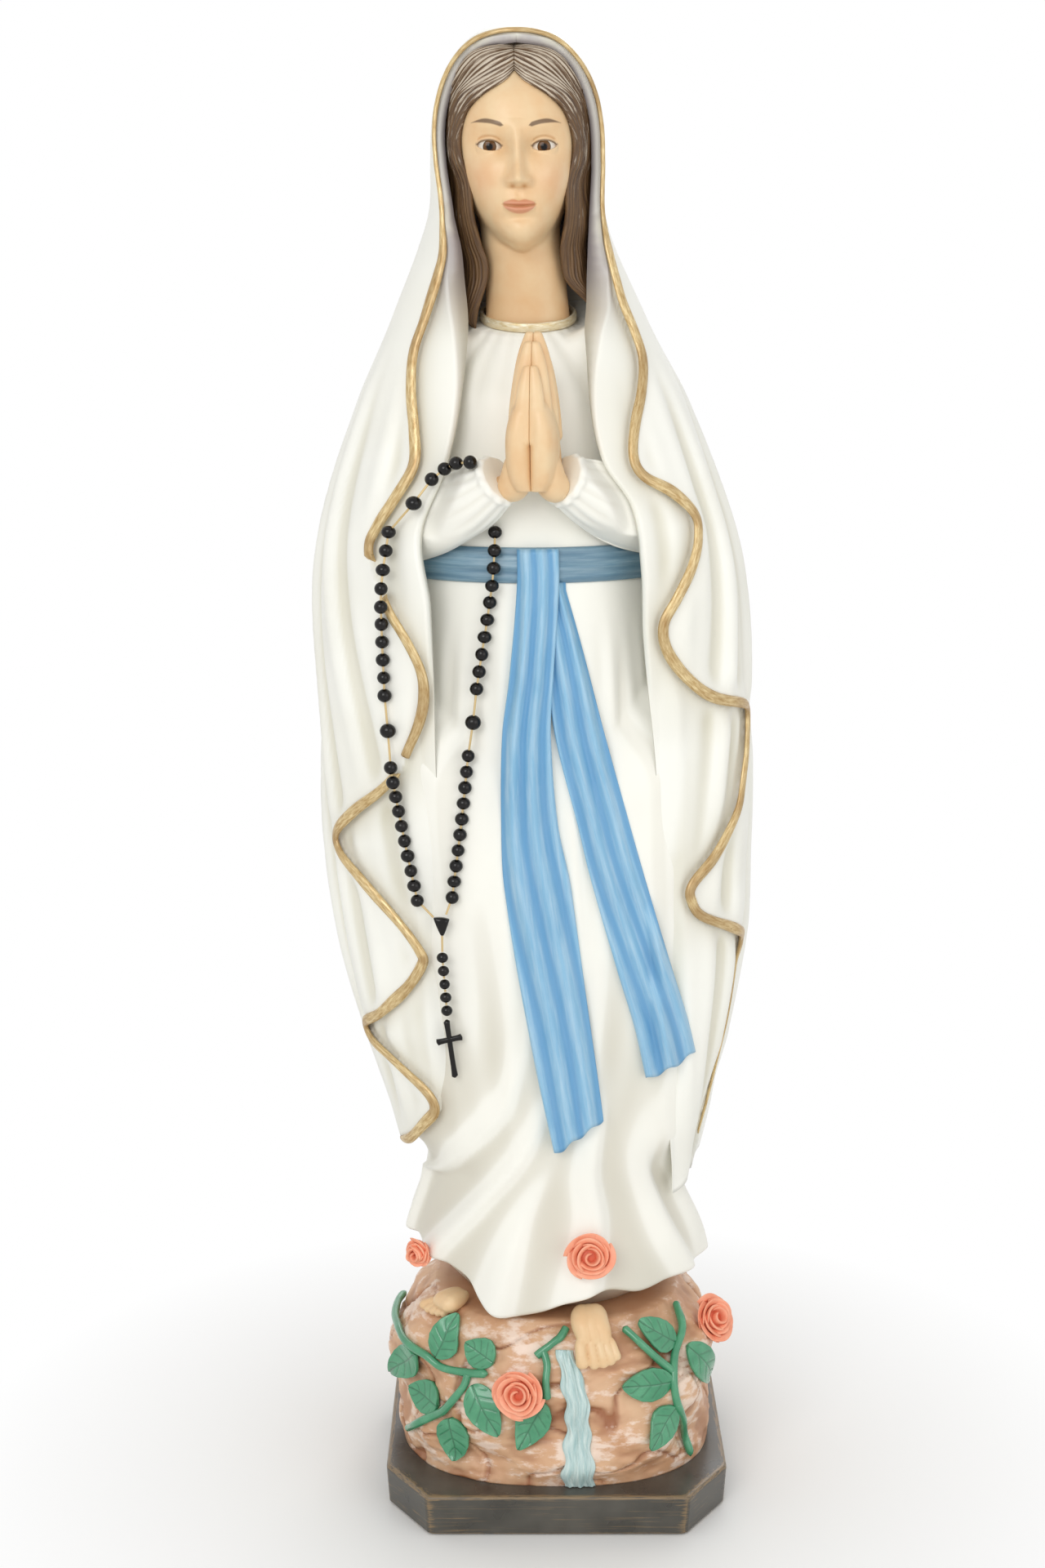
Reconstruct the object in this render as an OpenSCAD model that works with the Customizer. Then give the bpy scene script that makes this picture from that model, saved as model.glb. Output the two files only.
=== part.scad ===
// Devotional statue of a praying Madonna, cast in pieces and glued up on dowels.
// Millimetres, +Z up, the figure faces -Y. The origin is the middle of the face that it stands on.

/* [Plinth] */
// Width of the plinth across its sides
plinth_w = 145; // [125:1:180]
// Depth of the plinth, front to back
plinth_d = 145; // [130:1:180]
// Height of the plinth's top above the table
plinth_h = 18; // [14:0.5:30]
// Width that a cut corner takes off the front
corner_cut_w = 18; // [8:1:30]
// Depth that a cut corner takes off the side
corner_cut_d = 28; // [8:1:36]
// How far the foot of each side stands in
plinth_draft = 1; // [0.2:0.1:3]
// Bevel round the top edge
plinth_bevel = 1.2; // [0.4:0.1:3]

/* [Felt and fixings] */
// Thickness of the felt under the plinth
felt_t = 1.5; // [1:0.1:3]
// How far the felt stands out of its recess
felt_proud = 0.5; // [0.2:0.1:0.8]
// Margin of bare plinth round the felt
felt_margin = 6; // [3:0.5:15]
// Diameter of the screws that hold the rock to the plinth
screw_d = 5; // [3:0.5:6]
// Diameter of a screw's head
screw_head_d = 10; // [8:0.5:12]
// Height of a screw's head
screw_head_h = 4; // [2.5:0.5:5]
// Length of a screw under its head
screw_l = 32; // [20:1:45]
// Distance between the two screws
screw_pitch = 64; // [40:1:80]
// Diameter of the wooden dowels
dowel_d = 10; // [6:0.5:14]
// Length of a dowel
dowel_l = 40; // [24:1:60]
// Distance between the two dowels in the rock
dowel_pitch = 40; // [30:1:56]

/* [Rock] */
// Width of the rock at its widest
rock_w = 138; // [125:1:150]
// Depth of the rock at its deepest
rock_d = 130; // [115:1:140]
// Height of the rock above the plinth
rock_h = 68; // [60:1:80]
// Width of the rock where it meets the plinth
rock_foot_w = 134; // [120:1:136]
// Width of the flat seat on top of the rock
rock_seat_w = 104; // [96:1:120]
// Height of the rock's lumps
rock_lump = 2.2; // [0.5:0.1:3]

/* [Figure] */
// Height of the skirt, from the rock to the waist
waist_h = 316; // [290:1:345]
// Height of the bodice, from the waist to the neckline
bodice_h = 94; // [88:1:101]
// Length of the neck, from the neckline to the chin
neck_l = 30; // [27:1:34]
// Height of the temple above the chin, where the hood begins to close
temple_rise = 34; // [30:1:38]
// Sideways lean of the figure, at the chin
lean = 17; // [0:1:24]

/* [Mantle] */
// Wall of the mantle
mantle_wall = 3.5; // [2.5:0.1:4]
// Width of the mantle at its hem
mantle_hem_w = 122; // [116:1:130]
// Width at the knee
mantle_knee_w = 156; // [150:1:166]
// Width at the hip, its widest
mantle_hip_w = 178; // [170:1:190]
// Width at the elbow
mantle_elbow_w = 172; // [164:1:182]
// Width at the shoulder
mantle_shoulder_w = 133; // [126:1:142]
// Width at the neck
mantle_neck_w = 71; // [68:1:76]
// Room from the head to the outside of the hood, all round
hood_room = 9; // [8:0.5:12]
// Depth of the mantle's soft folds
fold_depth = 1.8; // [0:0.1:2]
// Width of the gilt edging
trim_w = 4.2; // [2.5:0.1:6]
// Thickness of the gilt edging
trim_t = 1.8; // [1:0.1:3]

/* [Gown] */
// Width of the gown's front at the hem
gown_hem_w = 130; // [122:1:138]
// Width of the gown's front at the knee
gown_knee_w = 124; // [116:1:130]
// Width of the gown at the waist
gown_waist_w = 108; // [100:1:116]
// Depth of the folds that sweep down the front of the skirt
sweep_depth = 4.6; // [1:0.1:5.5]
// Number of pleats round the sides and back of the skirt
pleats = 13; // [9:1:17]
// Depth of the pleats at the hem
pleat_depth = 4.2; // [1:0.1:5]
// Height of the belt
belt_h = 13; // [8:0.5:18]
// Thickness of the sash
sash_t = 2.4; // [1.5:0.1:4]
// Width of a sash tail at its end
tail_w = 22; // [16:0.5:26]

/* [Head and hands] */
// Height of the head, chin to crown
head_h = 75; // [68:1:82]
// Width of the head
head_w = 50; // [46:1:55]
// Depth of the head, brow to nape
head_d = 62; // [58:1:64]
// Width of the neck
neck_w = 30; // [27:1:33]
// Diameter of the glass eyes
eye_d = 11; // [9:0.5:12]
// Length of a hand, wrist to fingertip
hand_l = 62; // [57:1:66]
// Breadth of a hand
hand_w = 25; // [22:1:28]
// Thickness of a hand at the palm
hand_t = 12; // [9:0.5:14]

/* [Rosary] */
// Diameter of the small beads
bead_d = 4.8; // [3.8:0.1:5.2]
// Diameter of the large beads
large_bead_d = 5.4; // [4.6:0.1:5.8]
// Diameter of the chain's wire
wire_d = 0.9; // [0.6:0.1:1.4]

/* [Roses and vines] */
// Diameter of a rose
rose_d = 19; // [14:0.5:22]
// Height of a rose
rose_h = 7; // [5:0.5:10]
// Thickness of a rose's petals
petal_t = 0.9; // [0.6:0.1:1.2]
// Diameter of the stems
stem_d = 3.4; // [2:0.1:4.5]
// Length of a leaf
leaf_l = 20; // [14:0.5:24]
// Breadth of a leaf
leaf_w = 12; // [8:0.5:15]
// Thickness of a leaf
leaf_t = 1.8; // [1:0.1:3]

/* [Hidden] */

$fn = 48;
gap = 0.3;
core_gap = 1.2;
figure_z = plinth_h + rock_h;
figure_y = 2;
neck_h = waist_h + bodice_h;
chin_h = neck_h + neck_l;
temple_h = chin_h + temple_rise;
veil_h = chin_h + head_h + hood_room;
arch_h = veil_h - 4.5;
hood_w = head_w + 2 * hood_room;
hood_d = head_d / 2 + hood_room;
hood_round = 2.3;
hood_nod = 8;
stem_r = stem_d / 2;

// Heights on the figure are drawn against these landmarks, and move with them
landmarks = [[0, 0], [316, waist_h], [410, neck_h], [440, chin_h], [474, temple_h], [524, veil_h]];
function up(h) = lookup(h, landmarks);
function raised(list) = [for (k = list) [up(k[0]), k[1]]];

// Heights on the rock are drawn on one of this height
drawn_rock_h = 68;

function clamp(v, lo, hi) = min(max(v, lo), hi);
function ease(t) = let (c = clamp(t, 0, 1)) c * c * (3 - 2 * c);
function mix(a, b, t) = a + (b - a) * t;
function unit(v) = v / norm(v);
function power(v, e) = sign(v) * pow(abs(v), e);
function knot(k, s, i = 0) = i >= len(k) - 2 || s < k[i + 1][0] ? i : knot(k, s, i + 1);
function slope(k, i) =
    let (a = max(i - 1, 0), b = min(i + 1, len(k) - 1))
    (k[b][1] - k[a][1]) / (k[b][0] - k[a][0]);

// Smooth curve through knots of the form [position, value]
function curve(k, s) =
    let (i = knot(k, s), h = k[i + 1][0] - k[i][0], t = clamp((s - k[i][0]) / h, 0, 1),
        d = k[i + 1][1] - k[i][1], m = slope(k, i) * h, n = slope(k, i + 1) * h)
    k[i][1] + t * (m + t * (3 * d - 2 * m - n + t * (m + n - 2 * d)));

// Points evenly along a smooth curve through a list of points
function along(list, n) =
    let (k = [for (i = [0 : len(list) - 1]) [i, list[i]]])
    [for (i = [0 : n]) curve(k, (len(list) - 1) * i / n)];

// Solid between a front grid and a back grid, rows upwards and columns to the right as seen from the front
module slab(front, back) {
    m = len(front) - 1;
    n = len(front[0]) - 1;
    w = n + 1;
    s = (m + 1) * w;
    sides = concat(
        [for (r = [0 : m - 1]) [r * w, r * w + w]],
        [for (c = [0 : n - 1]) [m * w + c, m * w + c + 1]],
        [for (r = [m : -1 : 1]) [r * w + n, r * w + n - w]],
        [for (c = [n : -1 : 1]) [c, c - 1]]);
    polyhedron(
        [for (g = [front, back]) for (row = g) for (p = row) p],
        concat(
            [for (r = [0 : m - 1]) for (c = [0 : n - 1]) for (t = [[w, w + 1], [w + 1, 1]])
                [r * w + c, r * w + c + t[0], r * w + c + t[1]]],
            [for (r = [0 : m - 1]) for (c = [0 : n - 1]) for (t = [[w + 1, w], [1, w + 1]])
                [s + r * w + c, s + r * w + c + t[0], s + r * w + c + t[1]]],
            [for (e = sides) for (t = [[e[0], s + e[1], e[1]], [e[0], s + e[0], s + e[1]]]) t]));
}

// Solid through closed rings, counter-clockwise as seen from the last ring
module loft(rings) {
    m = len(rings) - 1;
    n = len(rings[0]);
    polyhedron(
        [for (ring = rings) for (p = ring) p],
        concat(
            [[for (c = [0 : n - 1]) c], [for (c = [n - 1 : -1 : 0]) m * n + c]],
            [for (r = [0 : m - 1]) for (c = [0 : n - 1])
                let (a = r * n + c, b = r * n + (c + 1) % n)
                    for (t = [[a, a + n, b + n], [a, b + n, b]]) t]));
}

// Rings of given half-width and half-height round a path, with ref as the upward direction
function rings(path, size, ref, n) =
    [for (i = [0 : len(path) - 1])
        let (t = unit(path[min(i + 1, len(path) - 1)] - path[max(i - 1, 0)]),
            u = unit(cross(ref, t)), v = cross(t, u))
        [for (j = [0 : n - 1])
            let (b = 360 * j / n) path[i] + u * size[i][0] * cos(b) + v * size[i][1] * sin(b)]];

// Straight round bar between two points
module bar(a, b, d) {
    v = b - a;
    translate(a) rotate([0, acos(v[2] / norm(v)), atan2(v[1], v[0])])
        cylinder(d = d, h = norm(v), $fn = 24);
}

// Octagon of the plinth, drawn in by an inset
function octagon(i) =
    let (x = plinth_w / 2 - i, y = plinth_d / 2 - i, p = x - corner_cut_w, q = y - corner_cut_d)
    [[x, -q], [x, q], [p, y], [-p, y], [-x, q], [-x, -q], [-p, -y], [p, -y]];
function level(points, z) = [for (p = points) [p[0], p[1], z]];

// Rock: a rounded square drum with lumps, angle 0 at the front and 90 at the viewer's right
rock_profile = [[0, rock_foot_w / 2], [20.4, rock_w / 2 - 0.5], [44.2, rock_w / 2 - 1.5],
    [60, rock_w / 2 - 7], [drawn_rock_h, rock_seat_w / 2]];
function rock_at(a, h) =
    let (w = curve(rock_profile, h), e = ease(h / 12) * ease((drawn_rock_h - h) / 14),
        l = rock_lump * e
            * (sin(3 * a + 50 * sin(5 * h)) + 0.8 * cos(5 * a - 7 * h) + 0.5 * sin(9 * a + 11 * h)))
    [(w + l) * power(sin(a), 0.8), -(w * rock_d / rock_w + l) * power(cos(a), 0.8),
        plinth_h + h * rock_h / drawn_rock_h];
function rock_out(a, h) =
    unit(cross(rock_at(a + 2, h) - rock_at(a - 2, h), rock_at(a, h + 1.5) - rock_at(a, h - 1.5)));
function on_rock(a, h, off) = rock_at(a, h) + off * rock_out(a, h);

// Figure: a leaning axis, half-widths and depths by height above the rock
function axis_x(h) = -lean * clamp(h / chin_h, 0, 1);

mantle_half = raised([[50, mantle_hem_w / 2], [118, mantle_knee_w / 2], [168, mantle_hip_w / 2 - 3],
    [250, mantle_hip_w / 2], [316, mantle_elbow_w / 2], [378, mantle_shoulder_w / 2], [412, 51],
    [450, mantle_neck_w / 2], [474, hood_w / 2]]);
mantle_front = raised([[50, 55], [118, 53], [214, 52], [264, 55], [316, 60], [344, 57], [369, 50],
    [394, 43], [414, 39], [434, 36], [474, hood_d]]);
mantle_back = raised([[50, 54], [118, 56], [264, 56], [344, 52], [394, 44], [434, 37], [474, hood_d]]);

// Front edges of the mantle: angle from the front by height
edge_left = raised([[50, 46], [76, 38], [120, 31], [170, 28.6], [233, 28], [300, 27.4], [330, 31],
    [355, 25], [384, 23], [405, 28], [425, 38], [440, 43], [450, 52], [474, 65], [485, 68], [497, 68],
    [506, 66], [512, 61], [516, 52], [518.4, 36], [519.5, 0]]);
edge_right = raised([[50, 62], [76, 51], [120, 40], [170, 34.6], [233, 34], [287, 31], [316, 32],
    [340, 32], [358, 25], [384, 26], [405, 36], [420, 50], [443, 64], [460, 75], [485, 76], [497, 74],
    [506, 69], [512, 62], [516, 52], [518.4, 36], [519.5, 0]]);
mantle_hem = [[-360, 50], [-300, 46], [-275, 58], [-180, 48], [-100, 52], [-78, 63], [-45, 54], [0, 54]];

// Soft upright folds on the outside, which die out through the wall
function mantle_fold(a, h) =
    let (behind = 125 - abs(abs(a) - 180))
    fold_depth * ease((up(400) - h) / 200) * ease(behind / 45) * cos(11 * a + 30 * sin(1.5 * h));

// The hood closes over the head as a dome that nods forward
function mantle_at(a, h, off) =
    let (rise = clamp((h - temple_h) / (veil_h - temple_h), 0, 1),
        cap = pow(1 - pow(rise, hood_round), 1 / hood_round),
        o = off + mantle_fold(a, h) * clamp(1 + off / mantle_wall, 0, 1),
        d = curve(cos(a) > 0 ? mantle_front : mantle_back, h))
    [axis_x(h) + (curve(mantle_half, h) + o) * cap * sin(a),
        figure_y - hood_nod * rise * rise - (d + o) * cap * cos(a),
        figure_z + (h > temple_h ? temple_h + rise * (veil_h - temple_h + off) : h)];
function mantle_out(a, h) =
    unit(cross(mantle_at(a + 1, h, 0) - mantle_at(a - 1, h, 0),
        mantle_at(a, h + 1, 0) - mantle_at(a, h - 1, 0)));

// Gown: its own front, filled out to the mantle's inside at the sides and back
gown_half = raised([[0, gown_hem_w / 2], [24, gown_hem_w / 2 - 3], [54, gown_knee_w / 2 - 9],
    [114, gown_knee_w / 2], [214, gown_knee_w / 2], [300, gown_waist_w / 2 + 2], [316, gown_waist_w / 2],
    [350, 52], [380, 47], [398, 36], [410, 23]]);
gown_front = raised([[0, 56], [24, 53], [54, 49], [114, 48], [214, 46], [300, 44], [316, 43], [350, 40],
    [380, 36], [398, 29], [410, 21]]);
gown_back = raised([[0, 52], [54, 42], [380, 40], [398, 32], [410, 23]]);
skirt_hem = [[-180, 12], [-110, 20], [-80, 30], [-62, 23], [-45, 18], [-36, 14.5], [-30, 8], [-24, 3],
    [-17, 2.5], [-6, 5], [5, 10], [20, 13], [35, 11], [52, 17], [80, 21], [120, 14], [180, 12]];

// Crests of the folds that sweep down from the knee: distance from the axis by height, and where each begins
fold_lines = [for (list = [
    [[20, -72], [44, -61], [64, -39.5], [89, -20.5], [124, -9.4], [170, -5]],
    [[0, -62], [23, -50.5], [44, -33.2], [70, -12.8], [96, -2.1], [130, 3]],
    [[0, -26], [5, -25.3], [41, -14], [71, 0.4], [100, 8]],
    [[0, 10], [10, 11.5], [41, 17.6], [64, 16], [99, 23.2], [140, 26]],
    [[0, 62], [18, 54.4], [41, 44.1], [64, 37.6], [86, 37.2], [130, 40]],
    [[10, 72], [32, 60.2], [41, 55], [77, 46.4], [103, 44.8], [150, 46]]]) raised(list)];
fold_tops = [for (h = [150, 128, 92, 130, 118, 140]) up(h)];
steepest = 0.985;
function bell(v, w) = exp(-v * v / (w * w));
function total(list, i = 0) = i < len(list) ? list[i] + total(list, i + 1) : 0;
function crest_angle(line, h) =
    let (x = curve(line, h) / curve(gown_half, h), c = clamp(x, -steepest, steepest)) asin(c) + 40 * (x - c);

// A crest is broad on its left and falls off sharply on its right
function crests(a, h) =
    let (w = mix(10.5, 6.5, clamp(h / up(110), 0, 1)))
    total([for (i = [0 : len(fold_lines) - 1])
        let (d = a - crest_angle(fold_lines[i], h))
        ease((fold_tops[i] - h) / 90) * bell(d, d < 0 ? w : 0.6 * w)]);
function sweep(h) = sweep_depth * ease((up(165) - h) / 90);
function pleat(h) =
    pleat_depth * (0.12 + 0.88 * ease((up(180) - h) / 180)) * ease((waist_h - 8 - h) / 60);
function gown_fold(a, h) =
    mix(pleat(h) * cos(pleats * (a + 25)), sweep(h) * (min(crests(a, h), 1.2) - 0.3), ease((98 - abs(a)) / 24));

// How far the gown is filled out: fully where the mantle's edge lies on it, not at all near the waist
fill_span = 20;
function below_waist(h) = ease((up(300) - h) / 50);
function gown_fill(a, h) =
    let (edge = curve(a < 0 ? edge_left : edge_right, h), start = mix(80, edge - fill_span, below_waist(h)))
    ease((abs(a) - start) / fill_span) * ease((h - 56) / 20) * ease((up(396) - h) / 20);
function gown_at(a, h, off) =
    let (o = off + gown_fold(a, h), d = curve(cos(a) > 0 ? gown_front : gown_back, h),
        m = mantle_at(a, h, -mantle_wall - core_gap), fill = gown_fill(a, h))
    [mix(axis_x(h) + (curve(gown_half, h) + o) * sin(a), m[0], fill),
        mix(figure_y - (d + o) * cos(a), m[1], fill), figure_z + h];

// Depth of the cloth that lies foremost at x from the axis
function bowed(x, half, front) = figure_y - front * sqrt(1 - pow(clamp(x / half, -0.98, 0.98), 2));
function gown_y(x, h) = bowed(x, curve(gown_half, h), curve(gown_front, h));
function mantle_y(x, h) = bowed(x, curve(mantle_half, h), curve(mantle_front, h));
function lining_y(x, h) =
    let (in = mantle_wall + core_gap) bowed(x, curve(mantle_half, h) - in, curve(mantle_front, h) - in);
function mantle_edge(x, h) = curve(mantle_half, h) * sin(curve(x < 0 ? edge_left : edge_right, h));
function cloth_y(x, h) =
    let (edge = mantle_edge(x, h), filled = ease((abs(x) - 8) / (edge - 8)) * below_waist(h),
        bare = gown_y(x, h), g = mix(bare, min(bare, lining_y(x, h)), filled) - max(pleat(h), 0.9 * sweep(h)))
    mix(g, min(g, mantle_y(x, h) - 0.5), ease((abs(x) - edge + 7) / 6));
function on_cloth(x, h, off) = [axis_x(h) + x, cloth_y(x, h) - off, figure_z + h];

module felt_pad() {
    color("darkgreen") linear_extrude(felt_t) polygon(octagon(felt_margin + gap));
}

screws = [[-screw_pitch / 2, 0], [screw_pitch / 2, 0]];
screw_z = felt_t + gap;

module plinth() {
    color("dimgray") difference() {
        loft([level(octagon(plinth_draft), felt_proud), level(octagon(0), plinth_h - plinth_bevel),
            level(octagon(plinth_bevel), plinth_h)]);
        translate([0, 0, felt_proud - 1]) linear_extrude(felt_t - felt_proud + 1)
            polygon(octagon(felt_margin));
        for (s = screws) translate([s[0], s[1], 0]) {
            cylinder(d = screw_d + 2 * gap, h = plinth_h + 1);
            cylinder(d = screw_head_d + 2 * gap, h = screw_z + screw_head_h);
        }
    }
}

module base_screws() {
    color("silver") for (s = screws) translate([s[0], s[1], screw_z]) {
        cylinder(d = screw_head_d, h = screw_head_h);
        cylinder(d = screw_d, h = screw_head_h + screw_l);
    }
}

dowels = [[-dowel_pitch / 2, 14], [dowel_pitch / 2, 14]];

module rock_mound() {
    levels = drawn_rock_h * [0, 0.1, 0.2, 0.3, 0.4, 0.5, 0.6, 0.7, 0.8, 0.88, 0.95, 1];
    color("peru") difference() {
        loft([for (h = levels) [for (i = [0 : 31]) rock_at(11.25 * i, h)]]);
        for (s = screws) translate([s[0], s[1], plinth_h - 1])
            cylinder(d = screw_d, h = screw_z + screw_head_h + screw_l + 2 - plinth_h);
        for (p = dowels) translate([p[0], p[1], figure_z - dowel_l / 2])
            cylinder(d = dowel_d, h = dowel_l);
    }
}

// Lengths of stem and of water that follow the rock, as [angle, height] points
module stem(points, n, lift = 0.6) {
    path = [for (p = along(points, n)) on_rock(p[0], p[1], stem_r + lift)];
    size = [for (i = [0 : n]) let (r = stem_r * (i == 0 || i == n ? 0.7 : 1)) [r, r]];
    loft(rings(path, size, [0, 0.3, 1], 7));
}

stream_path = [[5, 0.5], [4.5, 14], [4.5, 26], [4, 40], [2.6, 51], [1.6, 59]];
stream_half = [[0, 4.2], [14, 3.6], [30, 3], [45, 2.8], [60, 1.6]];

module stream() {
    rows = along(stream_path, 12);
    function row(off) =
        [for (p = rows) [for (j = [-2 : 2])
            on_rock(p[0] + j * curve(stream_half, p[1]) / 2, p[1], off > 1 ? off - 0.12 * j * j : off)]];
    color("lightblue") slab(row(2), row(0.8));
}

// Foot of a given breadth that lies over the rock's brow, from an ankle under the hem to its toes
module foot(ankle, high, heel, toes, breadth) {
    function toe(u) = pow(cos(450 * (u + 1)), 2);
    function sole(u, v) =
        let (q = mix(heel, toes, v * (1 - 0.12 * v * (1 + u) / 2 - 0.05 * v * toe(u))),
            s = norm(rock_at(q[0] + 1, q[1]) - rock_at(q[0] - 1, q[1])) / 2)
        [q[0] + u * breadth / 2 * mix(0.8, 1, v) / s, q[1]];
    function instep(u, v) =
        (1 - pow(u, 4) * 0.8) * mix(9.5, 4, ease(v)) - ease((v - 0.7) / 0.2) * 1.4 * toe(u) + 0.6;
    function skin(u, v, off) = let (p = sole(u, v)) on_rock(p[0], p[1], off);
    across = unit(rock_at(heel[0] + 2, heel[1]) - rock_at(heel[0] - 2, heel[1]));
    function root(u, h) =
        [ankle[0], ankle[1], figure_z + 2 * gap + h * (1 - 0.6 * u * u)] + across * u * breadth * 0.36;
    us = [for (j = [0 : 15]) 2 * j / 15 - 1];
    vs = [1, 0.9, 0.78, 0.6, 0.3, 0];
    slab(concat([for (v = vs) [for (u = us) skin(u, v, gap + instep(u, v))]], [[for (u = us) root(u, high)]]),
        concat([for (v = vs) [for (u = us) skin(u, v, gap)]], [[for (u = us) root(u, 0)]]));
}

module foot_front() {
    color("peachpuff") foot([13, -44.5], 5.5, [9.5, 68], [11.5, 54], 19);
}

module foot_side() {
    color("peachpuff") foot([-39, -26.5], 4, [-51, 68], [-58, 61], 15);
}

module vine_left() {
    color("green") {
        stem([[-100, 52], [-84, 52], [-67, 53.5], [-52, 51.5], [-42, 47], [-30, 46.5], [-20.5, 48.5]], 16);
        stem([[-29.8, 46.4], [-31, 40], [-38, 30], [-50, 21], [-66, 10]], 10);
    }
}

module vine_centre() {
    color("green") {
        stem([[2, 65.5], [0, 62], [-3, 58.5], [-5, 56]], 6);
        stem([[-3, 58.5], [-2, 53.5], [-2.2, 48], [-1.8, 41]], 6, 0.1);
    }
}

module vine_right() {
    color("green") {
        stem([[62, 66], [55.5, 62.5], [46.5, 55.6], [39, 46.4], [38.5, 36], [44.5, 24], [50, 13],
            [51.5, 4]], 16);
        stem([[23, 64.5], [28, 58.6], [33, 53], [38.8, 46.6]], 7);
    }
}

// Leaf that lies on the rock from its stalk to its tip, in [angle, height] points
module leaf(stalk, tip) {
    p = rock_at(stalk[0], stalk[1]);
    t = unit(rock_at(tip[0], tip[1]) - p);
    side = unit(cross(t, rock_out((stalk[0] + tip[0]) / 2, (stalk[1] + tip[1]) / 2)));
    function place(u, v) =
        let (a = mix(stalk[0], tip[0], v), h = mix(stalk[1], tip[1], v),
            b = (leaf_w / 2) * pow(sin(180 * pow(v, 0.75)), 0.8) + 0.5)
        on_rock(a, h, 0) + side * u * b;
    function out(v) = rock_out(mix(stalk[0], tip[0], v), mix(stalk[1], tip[1], v));
    function lift(u, v) = 0.7 + 0.8 * u * u + 2 * v * v;
    vs = [for (i = [0 : 5]) i / 5];
    us = [-1, -0.5, 0, 0.5, 1];
    slab([for (v = vs) [for (u = us) place(u, v) + out(v) * (lift(u, v) + leaf_t * (1 - 0.5 * u * u))]],
        [for (v = vs) [for (u = us) place(u, v) + out(v) * lift(u, v)]]);
}

module leaves_left() {
    color("forestgreen") {
        leaf([-45.5, 51.8], [-42, 65]);
        leaf([-58, 48.2], [-74, 35]);
        leaf([-20, 53.4], [-32, 59.2]);
        leaf([-45, 29.5], [-61, 32]);
        leaf([-35.5, 25.5], [-34.5, 8]);
        leaf([-26, 41], [-16, 25]);
        leaf([-3, 37.4], [-9, 19]);
    }
}

module leaves_right() {
    color("forestgreen") {
        leaf([44.5, 57.2], [31, 64.5]);
        leaf([36, 43.5], [19, 44.5]);
        leaf([52.5, 52], [66, 34]);
        leaf([37.5, 32], [26, 19]);
    }
}

// Rose rolled from one strip, opening along a direction from its foot
module rose(foot, dir, d, h) {
    n = 24;
    turns = 2.5;
    function petal(i, v, off) =
        let (t = i / n, a = 360 * turns * t, lip = 1 + 0.07 * cos(10 * a / turns + 40) * v,
            r = [mix(1, 0.3 * d, t), mix(1.7, 0.44 * d, t), mix(1.2, 0.5 * d, t)][v] * lip + off,
            z = [0, 0.55 * h, h * mix(1, 0.72, t) * lip][v])
        [r * cos(a), r * sin(a), z];
    translate(foot) rotate([0, acos(dir[2] / norm(dir)), atan2(dir[1], dir[0])])
        slab([for (v = [0 : 2]) [for (i = [0 : n]) petal(i, v, petal_t / 2)]],
            [for (v = [0 : 2]) [for (i = [0 : n]) petal(i, v, -petal_t / 2)]]);
}

module rose_front() {
    color("salmon") rose(on_rock(-9, 43, 0.9), rock_out(-9, 43) + [0, 0, 0.2], rose_d, rose_h);
}

module rose_right() {
    color("salmon") rose(on_rock(73, 55.5, 2.4), rock_out(73, 55.5) + [0, -0.8, 0], rose_d * 0.95, rose_h);
}

module rose_hem() {
    color("salmon") rose(gown_at(13, 30, 0.8), [0.05, -1, 0.3], rose_d * 0.95, rose_h);
}

module rose_left() {
    color("salmon") rose(gown_at(-58, 23, 1.6), [-0.5, -0.8, -0.1], rose_d * 0.6, rose_h);
}

module figure_dowels() {
    color("burlywood") for (p = dowels) translate([p[0], p[1], figure_z - dowel_l / 2 + gap])
        cylinder(d = dowel_d - gap, h = dowel_l - 2 * gap);
}

waist = [axis_x(waist_h), figure_y, figure_z + waist_h];

module gown_skirt() {
    steps = [0, 0.03, 0.06, 0.1, 0.14, 0.18, 0.22, 0.27, 0.33, 0.4, 0.5, 0.6, 0.7, 0.8, 0.88, 0.95, 1];
    angles = [for (i = [0 : 59]) let (t = i / 30 - 1) 180 * t * (0.46 + 0.54 * t * t)];
    color("ivory") difference() {
        loft(concat(
            [[for (a = angles) [40 * sin(a), figure_y - 36 * cos(a), figure_z + gap / 2]]],
            [for (s = steps) [for (a = angles) gown_at(a, mix(curve(skirt_hem, a), waist_h, s), 0)]]));
        for (p = dowels) translate([p[0], p[1], figure_z - 1])
            cylinder(d = dowel_d, h = dowel_l / 2 + 1);
        translate(waist - [0, 0, dowel_l / 2]) cylinder(d = dowel_d, h = dowel_l);
    }
}

module waist_dowel() {
    color("burlywood") translate(waist - [0, 0, dowel_l / 2 - gap])
        cylinder(d = dowel_d - gap, h = dowel_l - 2 * gap);
}

// How far each level of the head, 0 at the chin and 1 at the crown, lies to the right of the figure's axis
head_tilt = [[-0.45, 5], [-0.1, 3.2], [0, 1.9], [1, -1.2]];
function head_x(t) = axis_x(chin_h) + curve(head_tilt, t);
neck_base = (neck_h - chin_h) / head_h;
neck = [head_x(neck_base), figure_y, figure_z + neck_h];
neckline_tilt = 8;

// Drop of the tilted neckline at a depth behind the axis
function tilted(p, h) =
    p + [0, 0, (p[1] - figure_y) * tan(neckline_tilt) * ease((h - up(376)) / (neck_h - up(376)))];

module gown_bodice() {
    levels = concat(waist_h + gap / 2, [for (h = [330, 345, 360, 372, 381, 389, 396, 403, 410]) up(h)]);
    color("ivory") difference() {
        loft([for (h = levels) [for (i = [0 : 35]) tilted(gown_at(10 * i - 180, h, 0), h)]]);
        translate(waist - [0, 0, 1]) cylinder(d = dowel_d, h = dowel_l / 2 + 1);
        translate(neck - [0, 0, dowel_l / 2]) cylinder(d = dowel_d, h = dowel_l);
    }
}

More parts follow.
